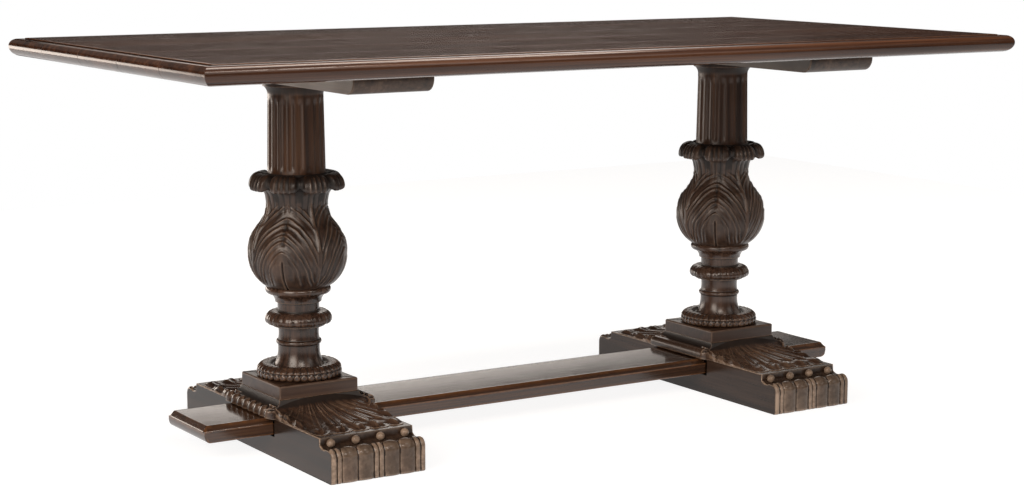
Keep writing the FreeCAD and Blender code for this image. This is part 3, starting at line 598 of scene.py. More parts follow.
def leaf(columns_per_finger=17, rows=72):
    """One leaf, from under the plinth down the slope towards -Y.

    A fan grid: rays leave a point under the plinth at even angles and run out to the leaf's edge, which is
    the nearer of the toe line and the side line. Height is a slope under a steep cove beside the plinth,
    falling off to both sides, plus the relief. Each finger is round across, with deep grooves beside it, and
    is fluted along with sharp ridges and stepped into rows of leaflets, each rising to its end. The finger's
    tip is round in plan, rises and then curls down.
    """
    columns = finger_count * columns_per_finger + 1
    angle = np.linspace(-fan_reach, fan_reach, columns)
    pitch = 2 * fan_reach / finger_count
    sway = 0.012 * np.sin(9 * angle)
    across = lobes(angle + sway, pitch)
    taper = (leaf_half_toe - leaf_half_root) / (saddle_half_length - roll_half_length)
    to_toe = (saddle_half_length - fan_centre) / np.cos(angle)
    side_gap = leaf_half_root - taper * (roll_half_length - fan_centre)
    to_side = side_gap / np.maximum(np.abs(np.sin(angle)) - taper * np.cos(angle), 0.05)
    nearer = -14
    edge = (to_toe ** nearer + to_side ** nearer) ** (1 / nearer)
    edge = edge - tip_depth * (1 - np.sqrt(np.clip(1 - across ** 2, 0, 1)))
    shortest_ray = 14
    to_root = (leaf_start - fan_centre) / np.cos(angle)
    inner = np.minimum(to_root, edge - shortest_ray)
    part = (1 - (1 - np.linspace(0, 1, rows)) ** 1.2)[:, None]
    ray = inner + (edge - inner) * part
    x = ray * np.sin(angle)
    y = -fan_centre - ray * np.cos(angle)
    along = np.clip((-y - leaf_start) / (saddle_half_length - leaf_start), 0, 1)
    slope = leaf_toe + (saddle_height - leaf_toe - leaf_cove) * (1 - along) ** 1.2
    slope = slope + leaf_cove * np.exp(-(along / 0.07) ** 1.5)
    half_width = leaf_half_root + taper * np.clip(-y - roll_half_length, 0, None)
    fall = 0.4 * slope * (np.abs(x) / half_width) ** 2.4
    depth = eased(along, 0.05, 0.22) * (0.55 + 0.45 * part)
    finger = -finger_depth * depth * across ** 2
    ridge = lobes(angle, pitch / flutes_per_finger)
    flute = -flute_cut * depth * (1 - ridge ** 2) * (1 - across ** 6)
    curl = tip_curl * (1 - across ** 2) * np.exp(-((part - 0.88) / 0.09) ** 2)
    curl = curl - tip_drop * eased(part, 0.92, 1.0)
    leaflet = leaflet_step * depth * ((leaflet_rows * part + 0.3 * across) % 1 - 0.5) * eased(part, 0.9, 0.8)
    height = np.maximum(slope - fall + finger + flute + curl + leaflet, leaf_thinnest)
    top = np.stack([x, y, saddle_base + height], axis=-1)
    root, foot_of_edge = (row * [1, 1, 0] + [0, 0, saddle_base] for row in (top[:1], top[-1:]))
    points = np.concatenate([root, top, foot_of_edge])
    number = np.arange(points[..., 0].size).reshape(-1, columns)
    base = np.concatenate([number[0], number[-1, ::-1]])
    closing = [end.tolist() for end in (number[:, 0], number[:, -1], base)]
    return points, grid_faces(*number.shape) + closing


near_leaf, leaf_faces = leaf()
far_leaf = near_leaf * [-1, -1, 1]
saddle_shells = [(block_points, block_faces), (near_leaf, leaf_faces), (far_leaf, leaf_faces)]
saddle_points, saddle_faces = joined(saddle_shells)

# Dark wax deep between the fingers, with their ridges rubbed to a soft brown
saddle_wood = waxed_hardwood("leaf_carved_hardwood", 1, ("#211610", "#3d2c22", "#564336"), "#8a7462", 0.25,
                             shine=0.5)
# Painted shade: the top of the block just under the plinth is painted darker
under_plinth_painted_shade = 0.4
toe_rubbed = 0.1
# Painted highlight: the gadroons and the plain roll are painted a little paler
roll_painted_highlight = 0.04
past_plinth = np.abs(saddle_points[:, 1]) - leaf_start
above_lobes = eased(np.abs(saddle_points[:, 0]), roll_line - 6, roll_line - 13)
up_block = eased(saddle_points[:, 2], saddle_base + 15, saddle_base + 22)
saddle_wear_and_painted_light = under_plinth_painted_shade * eased(past_plinth, 26, 8) * up_block
saddle_wear_and_painted_light = saddle_wear_and_painted_light * above_lobes - toe_rubbed * eased(past_plinth, 24, 50)
saddle_wear_and_painted_light = saddle_wear_and_painted_light - roll_painted_highlight * (1 - above_lobes) * eased(past_plinth, 16, 12)
for side, tone in (("left", 3.4), ("right", 5.1)):
    saddle = new_piece(f"saddle_{side}_carved", placed(side, saddle_points), saddle_faces, saddle_wood, tone,
                       dust_and_painted_light=saddle_wear_and_painted_light)
    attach(saddle, "root")
    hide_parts(f"saddle_{side}")

# Plinths: plain square hardwood blocks, planed, with a small chamfer round the top. Each is bored through for
# the reel's tenon, which holds it down on the saddle.


def slab(outline, levels):
    """A flat block: a closed outline at each level (inset, height), moved in along its normal."""
    inset, height = np.array(levels, float).T[..., None]
    x, y = (outline[:, axis] - outward(outline, closed=True)[:, axis] * inset for axis in (0, 1))
    return gridded(x, y, height), grid_faces(*x.shape, ring=True)


plinth_half, plinth_base, plinth_top = measured("plinth_left")[1:]
plinth_chamfer = 2
corner_round = 1.6
plinth_quarter = traced([
    (plinth_half, corner_round - plinth_half),
    (plinth_half, plinth_half - corner_round, corner_round),
    (plinth_half - corner_round, plinth_half),
], 0.6)[:-1]
quarter_turn = np.array([[0, 1], [-1, 0]])
quarters = [plinth_quarter @ np.linalg.matrix_power(quarter_turn, turn) for turn in range(4)]
plinth_points, plinth_faces = slab(np.concatenate(quarters), [
    (0.6, plinth_base),
    (0, plinth_base + 0.6),
    (0, plinth_base + 3),
    (0, plinth_top - plinth_chamfer - 3),
    (0, plinth_top - plinth_chamfer - 0.4),
    (0.5, plinth_top - plinth_chamfer + 0.5),
    (plinth_chamfer - 0.5, plinth_top - 0.5),
    (plinth_chamfer + 0.6, plinth_top),
    (plinth_chamfer + 4, plinth_top),
])

# Planed faces in an even satin, a little paler along the edges
plinth_wood = waxed_hardwood("planed_hardwood_block", 0, ("#21160f", "#34241b", "#463328"), "#604c3e", 0.30)
for side, tone in (("left", 7.5), ("right", 9.4)):
    plinth = new_piece(f"plinth_{side}_block", placed(side, plinth_points), plinth_faces, plinth_wood, tone)
    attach(plinth, "root")
    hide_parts(f"plinth_{side}")

# Base rings: turned hardwood rings under the reels, dished on top for the bell of the reel. Gadroons are cut
# over the shoulder of each ring, and end in a row of beads round its foot.


def flank_radius(across, along):
    """Radius of an arc that starts parallel to the axis and ends `across` away and `along` further."""
    return (across ** 2 + along ** 2) / (2 * across)


def turned(radius, height):
    """A turned surface: radius and height, of rows by turns, about the upright axis, closed at both ends."""
    angle = around(radius.shape[1])
    points = gridded(radius * np.cos(angle), radius * np.sin(angle), height)
    return points, grid_faces(*radius.shape, ring=True)


def raised(path, relief):
    """Radius and height of a profile that stands out along its normal by a relief of rows by turns."""
    normal = outward(path)
    return path[:, :1] + normal[:, :1] * relief, path[:, 1:] + normal[:, 1:] * relief


ring_radius, ring_base, ring_top = measured("base_ring_left")[1:]
ring_widest = 9
ring_shoulder = 20
ring_lip_radius = ring_radius - ring_shoulder
ring_dish = 5
ring_inner = ring_radius - 30
bead_count = 36
steps_per_bead = 14
bead_relief = 3.2
bead_reach = 7.5
gadroon_relief = 2.2
dish_painted_shade = 0.25
ring_path = traced([
    (ring_radius - 3, ring_base, flank_radius(3, ring_widest)),
    (ring_radius, ring_base + ring_widest, flank_radius(ring_shoulder, ring_top - ring_base - ring_widest)),
    (ring_lip_radius, ring_top, 12),
    (ring_inner, ring_top - ring_dish + 0.5),
], 0.8)
ring_length = covered(ring_path)[:, None]
across_bead = lobes(around(bead_count * steps_per_bead), 2 * np.pi / bead_count)
from_bead = (ring_length - bead_reach) / bead_reach
bead = np.sqrt(np.clip(1 - (across_bead * 1.02) ** 2 - from_bead ** 2, 0, 1))
shoulder = eased(ring_length, 2 * bead_reach - 3, 2 * bead_reach + 1) * eased(ring_length, 44, 34)
gadroon = shoulder * (0.5 - across_bead ** 2.2)
ring_relief = bead_relief * (bead - 0.8) * eased(ring_length, 18, 13) + gadroon_relief * gadroon
ring_out, ring_up = raised(ring_path, ring_relief)
ring_points, ring_faces = turned(np.minimum(ring_out, ring_radius), np.clip(ring_up, ring_base, ring_top))
# Painted shade: the dish round the foot of the bell is painted darker
ring_painted_shade = dish_painted_shade * eased(ring_out, ring_lip_radius + 6, ring_lip_radius - 3).ravel()

# Turned wood under old wax: soft lights on every round, and dark lines where the tool went in
turned_wood = waxed_hardwood("turned_hardwood_old_wax", 2, ("#1f140e", "#38271e", "#4f3b30"), "#735a46", 0.24,
                             40, (6, 200), 0.5)
for side, tone in (("left", 2.6), ("right", 4.9)):
    ring = new_piece(f"base_ring_{side}_beaded", placed(side, ring_points), ring_faces, turned_wood, tone,
                     dust_and_painted_light=ring_painted_shade)
    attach(ring, "root")
    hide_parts(f"base_ring_{side}")

# Reels: turned from hardwood in one piece from the bell up: bell, bead, hollow, a lotus boss whose rim is
# carved with petals, and a cup with a round rim under the vase. A tenon below goes down into the saddle.
belly_radius, vase_base = measured("vase_left")[1:3]
reel_base = ring_top - ring_dish
reel_neck = 39.5
bell_radius = 48
collar_radius = 50
lotus_radius = measured("reel_left")[0]
lotus_round = 8
lotus_top_radius = 46
cup_foot_radius = 44
cup_radius = 58
bell_top = reel_base + 33
bead_base = bell_top + 7.5
bead_top = bead_base + 9.5
collar_base = bead_top + 26
lotus_base = collar_base + 4
lotus_widest = lotus_base + lotus_round
lotus_top = lotus_widest + 16.5
cup_base = lotus_top + 17.5
rim_base = cup_base + 17
petal_count = 16
steps_per_petal = 22
petal_relief = 1.3
neck_painted_shade = 0.06
reel_path = traced([
    (bell_radius, reel_base, -flank_radius(bell_radius - reel_neck, bell_top - reel_base)),
    (reel_neck, bell_top),
    (reel_neck, bead_base, 4.9),
    (reel_neck, bead_top, -57),
    (reel_neck, collar_base - 1.5, -1.5),
    (reel_neck + 1.5, collar_base),
    (collar_radius - 0.8, collar_base, 0.8),
    (collar_radius, collar_base + 0.8),
    (collar_radius, lotus_base),
    (lotus_radius - lotus_round, lotus_base, lotus_round),
    (lotus_radius, lotus_widest, flank_radius(lotus_radius - lotus_top_radius, lotus_top - lotus_widest)),
    (lotus_top_radius, lotus_top),
    (reel_neck + 1, lotus_top, -1),
    (reel_neck, lotus_top + 1),
    (reel_neck, cup_base - 1, -1),
    (reel_neck + 1, cup_base),
    (cup_foot_radius - 0.8, cup_base, 0.8),
    (cup_foot_radius, cup_base + 0.8, -flank_radius(cup_radius - cup_foot_radius, rim_base - cup_base)),
    (cup_radius, rim_base, 7.6),
    (cup_radius, vase_base),
], 0.9, 1.6)
reel_radius, reel_height = reel_path[:, :1], reel_path[:, 1:]
in_lotus = (reel_height > lotus_base - 0.1) & (reel_height < lotus_top + 0.1)
in_lotus = in_lotus & (reel_radius > lotus_top_radius - 0.1)
petal_half = lobes(around(petal_count * steps_per_petal), 2 * np.pi / petal_count)
rimward = eased(reel_radius, lotus_top_radius + 1, lotus_radius - 6)
petal = -petal_half ** 2.2 * rimward - 0.5 * np.exp(-(petal_half / 0.16) ** 2) * rimward
reel_relief = petal_relief * petal * in_lotus
reel_points, reel_faces = turned(*raised(reel_path, reel_relief))
# Painted shade: the narrow necks of the reel are painted a little darker
reel_painted_shade = neck_painted_shade * eased(reel_radius, reel_neck + 6, reel_neck + 1)
reel_painted_shade = np.broadcast_to(reel_painted_shade, reel_relief.shape).ravel()
for side, tone in (("left", 4.1), ("right", 5.4)):
    reel = new_piece(f"reel_{side}_turned", placed(side, reel_points), reel_faces, turned_wood, tone,
                     dust_and_painted_light=reel_painted_shade)
    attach(reel, "root")
    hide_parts(f"reel_{side}")

# Vases: turned from hardwood and then carved with four acanthus leaves, each with a midrib and fingers that
# sweep up and out to the seams between the leaves. Their tips turn over into a lip round the shaft's spigot.
vase_foot_radius = 60
shoulder_radius = 76
neck_radius = 58.5
belly_height = vase_base + 59
shoulder_height = vase_base + 116
neck_height = vase_base + 162
cheek_width = 24
cheek_rise = 50
arch_stretch = 1.3
arch_power = 1.42
hood_reach = 62
hood_relief = 1.8
finger_pitch = 8.6
finger_cut = 2.8
midrib_relief = 2.2
seam_cut = 3.0
valley_cut = 2.4
brow_relief = 1.8
neck_cut = 1.2
highest_relief = 2.4
belly_flank = flank_radius(belly_radius - vase_foot_radius, belly_height - vase_base)
shoulder_flank = flank_radius(belly_radius - shoulder_radius, shoulder_height - belly_height)
neck_flank = flank_radius(shoulder_radius - neck_radius, neck_height - shoulder_height)
vase_path = traced([
    (vase_foot_radius, vase_base, belly_flank),
    (belly_radius, belly_height, shoulder_flank),
    (shoulder_radius, shoulder_height, -neck_flank),
    (neck_radius, neck_height),
], 1.3)
vase_turns = 440
vase_angle = around(vase_turns)
climb = covered(vase_path)[:, None]
rise = climb / climb[-1]

# Each leaf is half of two arches: flutes rise from the base and bend over towards the seams, round smooth
# cheeks. A hood covers the arches, and a brow stands over each cheek
from_midrib = lobes(vase_angle, np.pi / 2)
midrib_gap = from_midrib * np.pi / 4 * vase_path[:, :1]
seam_gap = (1 - from_midrib) * np.pi / 4 * vase_path[:, :1]
above_cheek = np.clip(climb - cheek_rise, 0, None) / arch_stretch
arch = (seam_gap ** arch_power + above_cheek ** arch_power) ** (1 / arch_power)
ragged = 0.10 * np.sin(climb / 17 + 5 * vase_angle) + 0.04 * np.sin(climb / 5 - 8 * vase_angle)
flute_place = (arch - cheek_width) / finger_pitch + ragged * eased(arch, cheek_width, cheek_width + 12)
on_leaf = eased(arch, cheek_width - 8, cheek_width + 8) * eased(rise, 0.03, 0.14) * eased(rise, 1.0, 0.94)
ridge = lobes(flute_place, 1)
parting = np.exp(-((1 - lobes(flute_place, 3)) / 0.1) ** 2)
fingers = -finger_cut * ((1 - ridge ** 2) * 0.75 + 0.5 * parting) * on_leaf * eased(midrib_gap, 2, 6)
hood = hood_relief * eased(arch, hood_reach + 2, hood_reach - 2) * eased(rise, 0.3, 0.6)
midrib = midrib_relief * np.exp(-(midrib_gap / 3.4) ** 2) * eased(rise, 0.05, 0.2)
seam = -seam_cut * np.exp(-(seam_gap / 1.8) ** 2) * eased(arch, cheek_width - 3, cheek_width - 10)
brow = np.exp(-((arch - cheek_width + 2) / 6) ** 2 - (seam_gap / 9) ** 2)
brow = brow_relief * brow * eased(climb, cheek_rise, cheek_rise + 10)
above_brow = eased(arch, cheek_width + 8, cheek_width + 20) * eased(rise, 0.9, 0.75)
valley = -valley_cut * np.exp(-(seam_gap / 4) ** 2) * above_brow
neck_ribs = neck_cut * lobes(vase_angle, np.pi / 16) ** 2 * eased(rise, 0.86, 0.96)
vase_relief = np.minimum(fingers + hood + midrib + seam + brow + valley, highest_relief) - neck_ribs
body_radius, body_height = raised(vase_path, vase_relief)
body_radius = np.minimum(body_radius, belly_radius)


def smooth_run(points, count):
    """Points along cubic pieces through the given points, parallel at each to the line of its neighbours."""
    places = np.array(points, float)
    padded = np.concatenate([2 * places[:1] - places[1:2], places, 2 * places[-1:] - places[-2:-1]])
    at = np.linspace(0, len(places) - 1, count)
    piece = np.minimum(at.astype(int), len(places) - 2)
    part = (at - piece)[:, None]
    before, start, end, after = (padded[piece + place] for place in range(4))
    cubic = 1.5 * (start - end) + (after - before) / 2
    square = before - 2.5 * start + 2 * end - after / 2
    return start + part * ((end - before) / 2 + part * (square + part * cubic))


# The lip: a section through a leaf tip that turns over and hangs, and one through the gap between two tips,
# each as radius and height over the neck. Round the lip the surface goes from one to the other and back.
lip_rows = 64
tip_section = smooth_run([
    (neck_radius, 0), (62, 15), (70, 24), (79, 27), (85, 22.5), (90, 24), (91.5, 31),
    (88.5, 42), (81.5, 50.5), (71, 54), (63, 51.5), (58, 51), (54.6, 54),
], lip_rows)
gap_section = smooth_run([
    (neck_radius, 0), (60.5, 13), (65, 23), (70, 27), (75, 29), (79, 32), (80.5, 37),
    (79, 42), (74, 46), (68, 47.5), (62.5, 47.5), (58, 49), (54.6, 54),
], lip_rows)
tip_count = 8
lip_flutes = 7
lip_cut = 2.2
tip_share = eased(lobes(vase_angle, 2 * np.pi / tip_count), 1.0, 0.55)
lip_radius = gap_section[:, :1] + (tip_section - gap_section)[:, :1] * tip_share
lip_height = gap_section[:, 1:] + (tip_section - gap_section)[:, 1:] * tip_share
turned_over = np.clip((lip_radius - 64) / 20, 0, 1)
lip_ridge = lobes(vase_angle, 2 * np.pi / tip_count / lip_flutes)
lip_radius = lip_radius - lip_cut * (1 - lip_ridge ** 2) * turned_over
first_rows = np.linspace(1, 0, lip_rows)[:, None] ** 6
lip_radius = lip_radius + first_rows * (body_radius[-1:] - neck_radius)
vase_radius = np.concatenate([body_radius, lip_radius[1:]])
vase_height = np.concatenate([body_height, neck_height + lip_height[1:]])
vase_points, vase_faces = turned(vase_radius, vase_height)

# Dull dark wax that fills the cuts, with the ridges rubbed paler by hands. The cheeks are painted paler,
# partly as rubbing and partly as a painted highlight, and the brows as a painted highlight. The lip is
# painted darker as painted shade, and darker still behind its tips, partly as painted shade and partly as
# dark wax
vase_wood = waxed_hardwood("acanthus_carved_hardwood", 2, ("#1c120d", "#33241b", "#49372c"), "#776251", 0.33,
                           wear=0.5)
# Painted shade: the lip is painted darker all over, and darker still behind its tips, where dark wax also
# lies
lip_painted_shade = 0.12
lip_hollow_dust = 0.25
# The cheeks are painted paler, partly as rubbing and partly as a painted highlight; the brows as a painted
# highlight
cheek_rub_and_painted_highlight = 0.1
brow_painted_highlight = 0.12
behind_tip = eased(np.linspace(0, 1, lip_rows), 0.62, 0.78)[:, None]
lip_painted_shade_and_wax = lip_painted_shade + lip_hollow_dust * np.maximum(behind_tip, 1 - tip_share)
rubbed_and_painted_highlight = cheek_rub_and_painted_highlight * eased(arch, cheek_width + 2, cheek_width - 8) + brow_painted_highlight * brow / brow_relief
vase_painted_light_and_wear = np.concatenate([-rubbed_and_painted_highlight, lip_painted_shade_and_wax[1:]]).ravel()
for side, tone in (("left", 6.2), ("right", 7.3)):
    vase = new_piece(f"vase_{side}_acanthus", placed(side, vase_points), vase_faces, vase_wood, tone,
                     dust_and_painted_light=vase_painted_light_and_wear)
    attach(vase, "root")
    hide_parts(f"vase_{side}")

# Shafts: turned from hardwood with a slight taper and a cavetto under a plain band, and fluted by hand. A
# spigot stands in the vase, and a tenon goes up into the bearer.
cleat_half_width, cleat_half_length, shaft_top, cleat_top = measured("cleat_left")
shaft_base = vase_base + 213
shaft_bottom_radius = 54.8
shaft_top_radius = 52.2
band_base = shaft_top - 11
band_round = 0.7
band_radius = measured("shaft_left")[0]
cavetto_base = band_base - 16
cavetto_radius = 60
capital_painted_shade = 0.24
flute_count = 20
steps_per_flute = 20
flute_half_width = 6.6
flute_depth = 2.4
flute_margin = 3
flute_run = 16
cavetto_flank = flank_radius(cavetto_radius - shaft_top_radius, band_base - cavetto_base)
shaft_path = traced([
    (shaft_bottom_radius, shaft_base),
    (shaft_top_radius, cavetto_base, -cavetto_flank),
    (cavetto_radius, band_base),
    (band_radius - band_round, band_base, band_round),
    (band_radius, band_base + band_round),
    (band_radius, shaft_top - band_round, band_round),
    (band_radius - band_round, shaft_top),
], 1.0, 1.6)
from_flute = lobes(around(flute_count * steps_per_flute), 2 * np.pi / flute_count)
flute_aside = from_flute * np.pi / flute_count * shaft_path[:, :1]
up_shaft = shaft_path[:, 1:]
run_in = eased(up_shaft, shaft_base + flute_margin, shaft_base + flute_margin + flute_run)
run_out = eased(up_shaft, cavetto_base - flute_margin, cavetto_base - flute_margin - flute_run)
flute = flute_depth * run_in * run_out * np.clip(1 - (flute_aside / flute_half_width) ** 2, 0, 1) ** 1.3
shaft_points, shaft_faces = turned(*raised(shaft_path, -flute))

# The warmest and least worn wood of the table: fine upright grain under a soft wax
shaft_wood = waxed_hardwood("fluted_hardwood_warm_wax", 2, ("#22150e", "#3a261a", "#4f3625"), "#563b29", 0.32,
                            30, (5, 220), 0.3, 0.4)
# Painted shade: the cavetto and the band under the top are painted darker
shaft_painted_shade = capital_painted_shade * eased(shaft_points[..., 2], cavetto_base - 2, cavetto_base + 8).ravel()
for side, tone in (("left", 8.3), ("right", 9.9)):
    shaft = new_piece(f"shaft_{side}_fluted", placed(side, shaft_points), shaft_faces, shaft_wood, tone,
                      reach=0.9, dust_and_painted_light=shaft_painted_shade)
    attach(shaft, "root")
    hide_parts(f"shaft_{side}")

# Bearers: planed hardwood boards across the underside of the top, with the lower corners of their ends
# rounded. Each takes a shaft's tenon, and four screws go up through it into the top.
cleat_base = shaft_top
cleat_round = 24
cleat_arris = 1.5
cleat_half = traced([
    (cleat_half_length - cleat_round, cleat_base, cleat_round),
    (cleat_half_length, cleat_base + cleat_round),
    (cleat_half_length, cleat_top),
], 1.5)
cleat_loop = mirrored(cleat_half)
cleat_x, cleat_inset = rounded_stations(-cleat_half_width, cleat_half_width, cleat_arris)
cleat_relief = -np.broadcast_to(cleat_inset, (len(cleat_loop), len(cleat_x)))
cleat_y, cleat_z, cleat_faces = carried(cleat_loop, cleat_relief, outward(cleat_loop, closed=True))
cleat_points = gridded(cleat_x, cleat_y, np.minimum(cleat_z, cleat_top))

# Planed wood that is seldom waxed: flat brown, with hardly a shine
bearer_wood = waxed_hardwood("planed_hardwood_dull_wax", 1, ("#20150e", "#39291e", "#4f3c30"), "#65503f",
                             0.42)
for side, tone in (("left", 9.2), ("right", 10.6)):
    cleat = new_piece(f"cleat_{side}_bearer", placed(side, cleat_points), cleat_faces, bearer_wood, tone)
    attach(cleat, "root")
    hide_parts(f"cleat_{side}")

# Top: five hardwood boards glued edge to edge, with the grain along the table. The edge is moulded in the
# solid all round: a small step down from the flat, a narrow ledge, a round nose and a rounded underside.
board_boxes = [span(f"top_board_{number}") for number in range(1, 6)]
top_half_length, top_height = board_boxes[0][1][[0, 2]]
top_half_width = board_boxes[4][1][1]
top_base = board_boxes[0][0][2]
nose_width = 20
ledge_width = 5
fillet_drop = 3
nose_depth = 16
under_inset = 16
joint_round = 0.3
joint_guard = 0.9
nose_level = top_height - nose_depth
ledge_level = top_height - fillet_drop
fillet = nose_width + ledge_width
moulding = traced([
    (fillet + 9, top_height),
    (fillet + 4, top_height),
    (fillet + 1, top_height, 1),
    (fillet, top_height - 1),
    (fillet, ledge_level + 0.5, -0.5),
    (fillet - 0.5, ledge_level),
    (nose_width, ledge_level, flank_radius(nose_width, ledge_level - nose_level)),
    (0, nose_level, flank_radius(under_inset, nose_level - top_base)),
    (under_inset, top_base),
    (under_inset + 3, top_base),
    (under_inset + 8, top_base),
], 1.2, 50)


def middle_board(front, back):
    """A board with two joint edges: the moulding of both table ends, as one loop, from joint to joint."""
    loop = mirrored(np.stack([top_half_length - moulding[:, 0], moulding[:, 1]], axis=-1)[::-1])
    stations, inset = rounded_stations(front, back, joint_round, guard=joint_guard)
    relief = -np.broadcast_to(inset, (len(loop), len(stations)))
    x, z, faces = carried(loop, relief, outward(loop, closed=True))
    return gridded(x, stations, z), faces


def outer_board(joint):
    """A board with one joint edge, at +Y: the moulding carried round three sides with mitred corners.

    It starts and ends at the joint, and is closed above, below and along the joint.
    """
    stations, inset = rounded_stations(joint, joint - top_half_width, joint_round, guard=joint_guard)
    near_joint = len(stations) // 2
    step = np.abs(stations[:near_joint] - joint)
    normal = outward(moulding)
    side_x = top_half_length - moulding[:, :1] + normal[:, :1] * inset[:near_joint]
    level = moulding[:, 1:] - normal[:, 1:] * inset[:near_joint]
    left = gridded(-side_x, joint - step, level)
    corner = gridded(top_half_length - moulding[:, :1], moulding[:, :1] - top_half_width, moulding[:, 1:])
    points = np.concatenate([left, corner * [-1, 1, 1], corner, left[:, ::-1] * [-1, 1, 1]], axis=1)
    number = np.arange(points[..., 0].size).reshape(points.shape[:2])
    faces = grid_faces(*number.shape)
    for row in (number[0], number[-1]):
        strip = np.stack([row[:-1], row[1:], row[-2::-1], row[:0:-1]], axis=-1)
        faces += strip[:len(row) // 2 - 1].tolist()
    joint_face = np.concatenate([number[:, 0], number[::-1, -1]])
    return points, faces + [joint_face.tolist()]


# Satin polish: long fine grain, soft mirrored light, and thin dark lines of dust in the joints
board_wood = waxed_hardwood("planked_hardwood_satin_polish", 0, ("#20130d", "#362117", "#4f3323"), "#6b4a35",
                            0.16, 26, (4, 480), 0.38)
joint_dust = 5
joint_lines = np.array([high[1] for low, high in board_boxes[:-1]])
for number, (low, high) in enumerate(board_boxes, start=1):
    if number == 1:
        board_points, board_faces = outer_board(high[1])
    elif number == len(board_boxes):
        board_points, board_faces = outer_board(-low[1])
        board_points = board_points * [-1, -1, 1]
    else:
        board_points, board_faces = middle_board(low[1], high[1])
    from_joint = np.abs(board_points[..., 1, None] - joint_lines).min(axis=-1).ravel()
    board_dust = joint_dust * eased(from_joint, joint_guard, 0.4)
    board = new_piece(f"top_board_{number}_moulded", board_points, board_faces, board_wood, 1.7 * number,
                      dust_and_painted_light=board_dust)
    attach(board, "root")
    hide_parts(f"top_board_{number}")

# Tongues and screws: loose hardwood tongues in the joints of the top, and steel screws in the bearers and
# under the feet. They keep their own solids, with the finish of plain sawn wood and of dulled steel.
tarnish_size = 3
# Raw sawn wood, pale and without shine
tongue_wood = waxed_hardwood("plain_sawn_hardwood", 0, ("#6b5238", "#84684a", "#9c7f5e"), "#a88a68", 0.6)
# Drawn steel gone dull: grey in dark and light spots of tarnish
screw_steel = bpy.data.materials.new("dulled_steel_screw")
steel_tree = emptied(screw_steel)
steel_place = add_node(steel_tree, "TexCoord", {}, {}).outputs["Object"]
tarnish_inputs = {"Vector": steel_place, "Scale": 1 / (tarnish_size * MM)}
tarnish = add_node(steel_tree, "TexNoise", {}, tarnish_inputs).outputs[0]
tarnish_shades = {0: tarnish, 6: linear("#4a4642"), 7: linear("#8b857d")}
steel_colour = add_node(steel_tree, "Mix", {"data_type": "RGBA"}, tarnish_shades).outputs[2]
steel_inputs = {"Base Color": steel_colour, "Metallic": 1.0, "Roughness": 0.45}
steel_shader = add_node(steel_tree, "BsdfPrincipled", {}, steel_inputs).outputs[0]
add_node(steel_tree, "OutputMaterial", {}, {"Surface": steel_shader})
fixings = {"top_splines": tongue_wood, "cleat_screws": screw_steel, "foot_screws": screw_steel}
for node, material in fixings.items():
    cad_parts[node].data.materials.clear()
    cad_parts[node].data.materials.append(material)

# Floor: plain pale floor, matt white, which glows a little so that it ends in the white of the backdrop. The
# table only stands on it.
floor_half = 3.4
floor_mesh = bpy.data.meshes.new("studio_floor")
floor_mesh.from_pydata([(x, y, 0) for x, y in ((-1, -1), (1, -1), (1, 1), (-1, 1))], [], [(0, 1, 2, 3)])
floor_mesh.transform(Matrix.Scale(floor_half, 4))
# Matt paint: no shine, only the soft shadow of the table
floor_paint = bpy.data.materials.new("matt_white_paint")
floor_tree = emptied(floor_paint)
floor_inputs = {"Base Color": linear("#8c8c8c"), "Roughness": 0.9, "Specular IOR Level": 0.0}
floor_inputs.update({"Emission Color": linear("#ffffff"), "Emission Strength": 0.88})
floor_shader = add_node(floor_tree, "BsdfPrincipled", {}, floor_inputs).outputs[0]
add_node(floor_tree, "OutputMaterial", {}, {"Surface": floor_shader})
floor_mesh.materials.append(floor_paint)
floor = bpy.data.objects.new("studio_floor", floor_mesh)
bpy.context.scene.collection.objects.link(floor)

# Light: a large soft lamp stands on the left, one hangs over the camera and one over the table. Weak ones
# stand on the right and behind, there below the level of the top, and a small one in front gives glints.


def aimed(place, target):
    """The pose of a light at a place in metres, with its -Z axis towards the target."""
    back = np.array(place, float) - np.array(target, float)
    back = back / np.linalg.norm(back)
    right = np.cross([0, 0, 1], back)
    right = right / np.linalg.norm(right)
    pose = np.eye(4)
    pose[:3] = np.stack([right, np.cross(back, right), back, place], axis=1)
    return Matrix(pose.tolist())


lamp_colour = linear("#fff1e4")[:3]
# Place and target in metres, width and height of the lamp, and its power in watts
soft_lights = {
    "key_light": ((-3.2, -1.6, 1.6), (-0.3, 0, 0.4), (1.8, 2.0), 105),
    "front_light": ((-1.4, -3.5, 2.4), (-0.3, 0, 0.2), (1.5, 0.6), 51),
    "back_light": ((-1.2, 3.4, 0.42), (0, 0, 0.3), (2.6, 0.6), 26),
    "right_light": ((4.3, 0.1, 1.2), (0, 0, 0.4), (4.0, 1.4), 12),
    "glint_light": ((0.6, -2.6, 2.5), (0, -0.2, 0.1), (0.5, 0.4), 12),
    "overhead_light": ((0.4, -0.3, 3.4), (0.4, -0.1, 0.7), (2.9, 1.2), 120),
}
for name, (place, target, (width, height), power) in soft_lights.items():
    light = bpy.data.lights.new(name, "AREA")
    light.shape = "RECTANGLE"
    light.size = width
    light.size_y = height
    light.energy = power
    light.color = lamp_colour
    lamp = bpy.data.objects.new(name, light)
    lamp.matrix_world = aimed(place, target)
    bpy.context.scene.collection.objects.link(lamp)

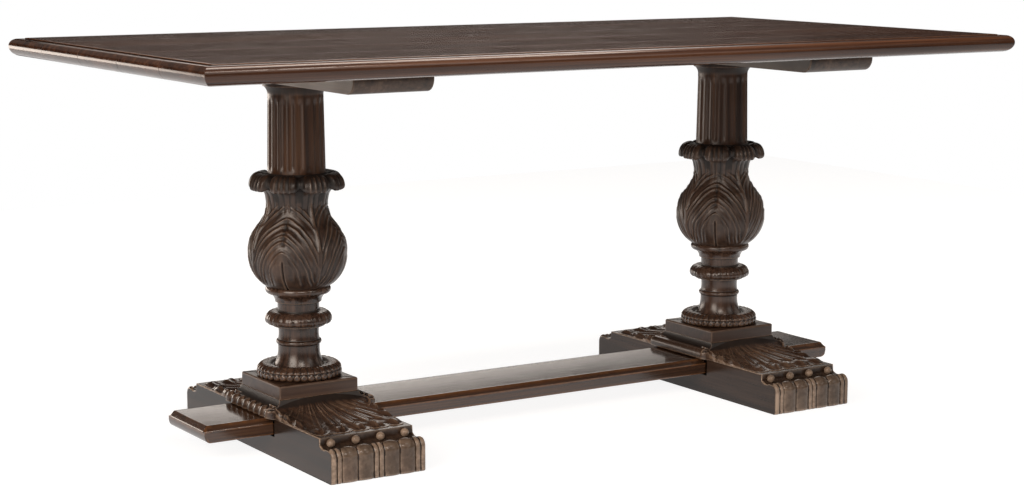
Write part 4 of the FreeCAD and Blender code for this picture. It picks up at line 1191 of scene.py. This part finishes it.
# The room is dim at table height and overhead, and bright in a band of lit wall behind, right of the middle.
# Each part of it goes by the way one looks, along one axis, from one strength to another
world = bpy.data.worlds.new("studio")
world_tree = emptied(world)
way = add_node(world_tree, "TexCoord", {}, {}).outputs["Generated"]
way_parts = add_node(world_tree, "SeparateXYZ", {}, {0: way}).outputs
room_parts = {
    "lit_wall": ("Z", 0.21, 0.246, 0.03, 2.5),
    "dim_ceiling": ("Z", 0.36, 0.55, 1.0, 0.15),
    "dim_left": ("X", 0.12, 0.48, 0.06, 1.0),
    "dim_right": ("X", 0.54, 0.7, 1.0, 0.05),
}
strengths = []
for axis, *limits in room_parts.values():
    inputs = dict(zip(range_inputs, (way_parts[axis], *limits)))
    strengths.append(add_node(world_tree, "MapRange", smooth_range, inputs).outputs[0])
room_light = strengths[0]
for strength in strengths[1:]:
    product = add_node(world_tree, "Math", {"operation": "MULTIPLY"}, {0: room_light, 1: strength})
    room_light = product.outputs[0]
seen = add_node(world_tree, "LightPath", {}, {}).outputs["Is Camera Ray"]
room = add_node(world_tree, "Background", {}, {"Color": linear("#fff6ee"), "Strength": room_light})
backdrop = add_node(world_tree, "Background", {}, {"Color": linear("#ffffff"), "Strength": 1.0})
surround = add_node(world_tree, "MixShader", {}, {0: seen, 1: room.outputs[0], 2: backdrop.outputs[0]})
add_node(world_tree, "OutputWorld", {}, {"Surface": surround.outputs[0]})
bpy.context.scene.world = world
bpy.context.scene.view_settings.view_transform = "Standard"

# Camera: at the photograph's place and with its lens, turned to the right and tilted down. Place in metres
camera_place = (-2.2859, -3.5506, 0.9967)
camera_yaw = np.radians(32.494)
camera_pitch = np.radians(9.005)
camera_roll = 0.002
camera_lens = 74.38
camera_shift = 0.0045
level_right = np.array([np.cos(camera_yaw), -np.sin(camera_yaw), 0])
forward = np.array([
    np.sin(camera_yaw) * np.cos(camera_pitch),
    np.cos(camera_yaw) * np.cos(camera_pitch),
    -np.sin(camera_pitch),
])
level_up = np.cross(level_right, forward)
rolled_right = np.cos(camera_roll) * level_right + np.sin(camera_roll) * level_up
rolled_up = np.cos(camera_roll) * level_up - np.sin(camera_roll) * level_right
camera_pose = np.eye(4)
camera_pose[:3] = np.stack([rolled_right, rolled_up, -forward, camera_place], axis=1)
camera_data = bpy.data.cameras.new("photo_camera")
camera_data.lens = camera_lens
camera_data.shift_y = camera_shift
camera = bpy.data.objects.new("photo_camera", camera_data)
camera.matrix_world = Matrix(camera_pose.tolist())
bpy.context.scene.collection.objects.link(camera)
bpy.context.scene.camera = camera
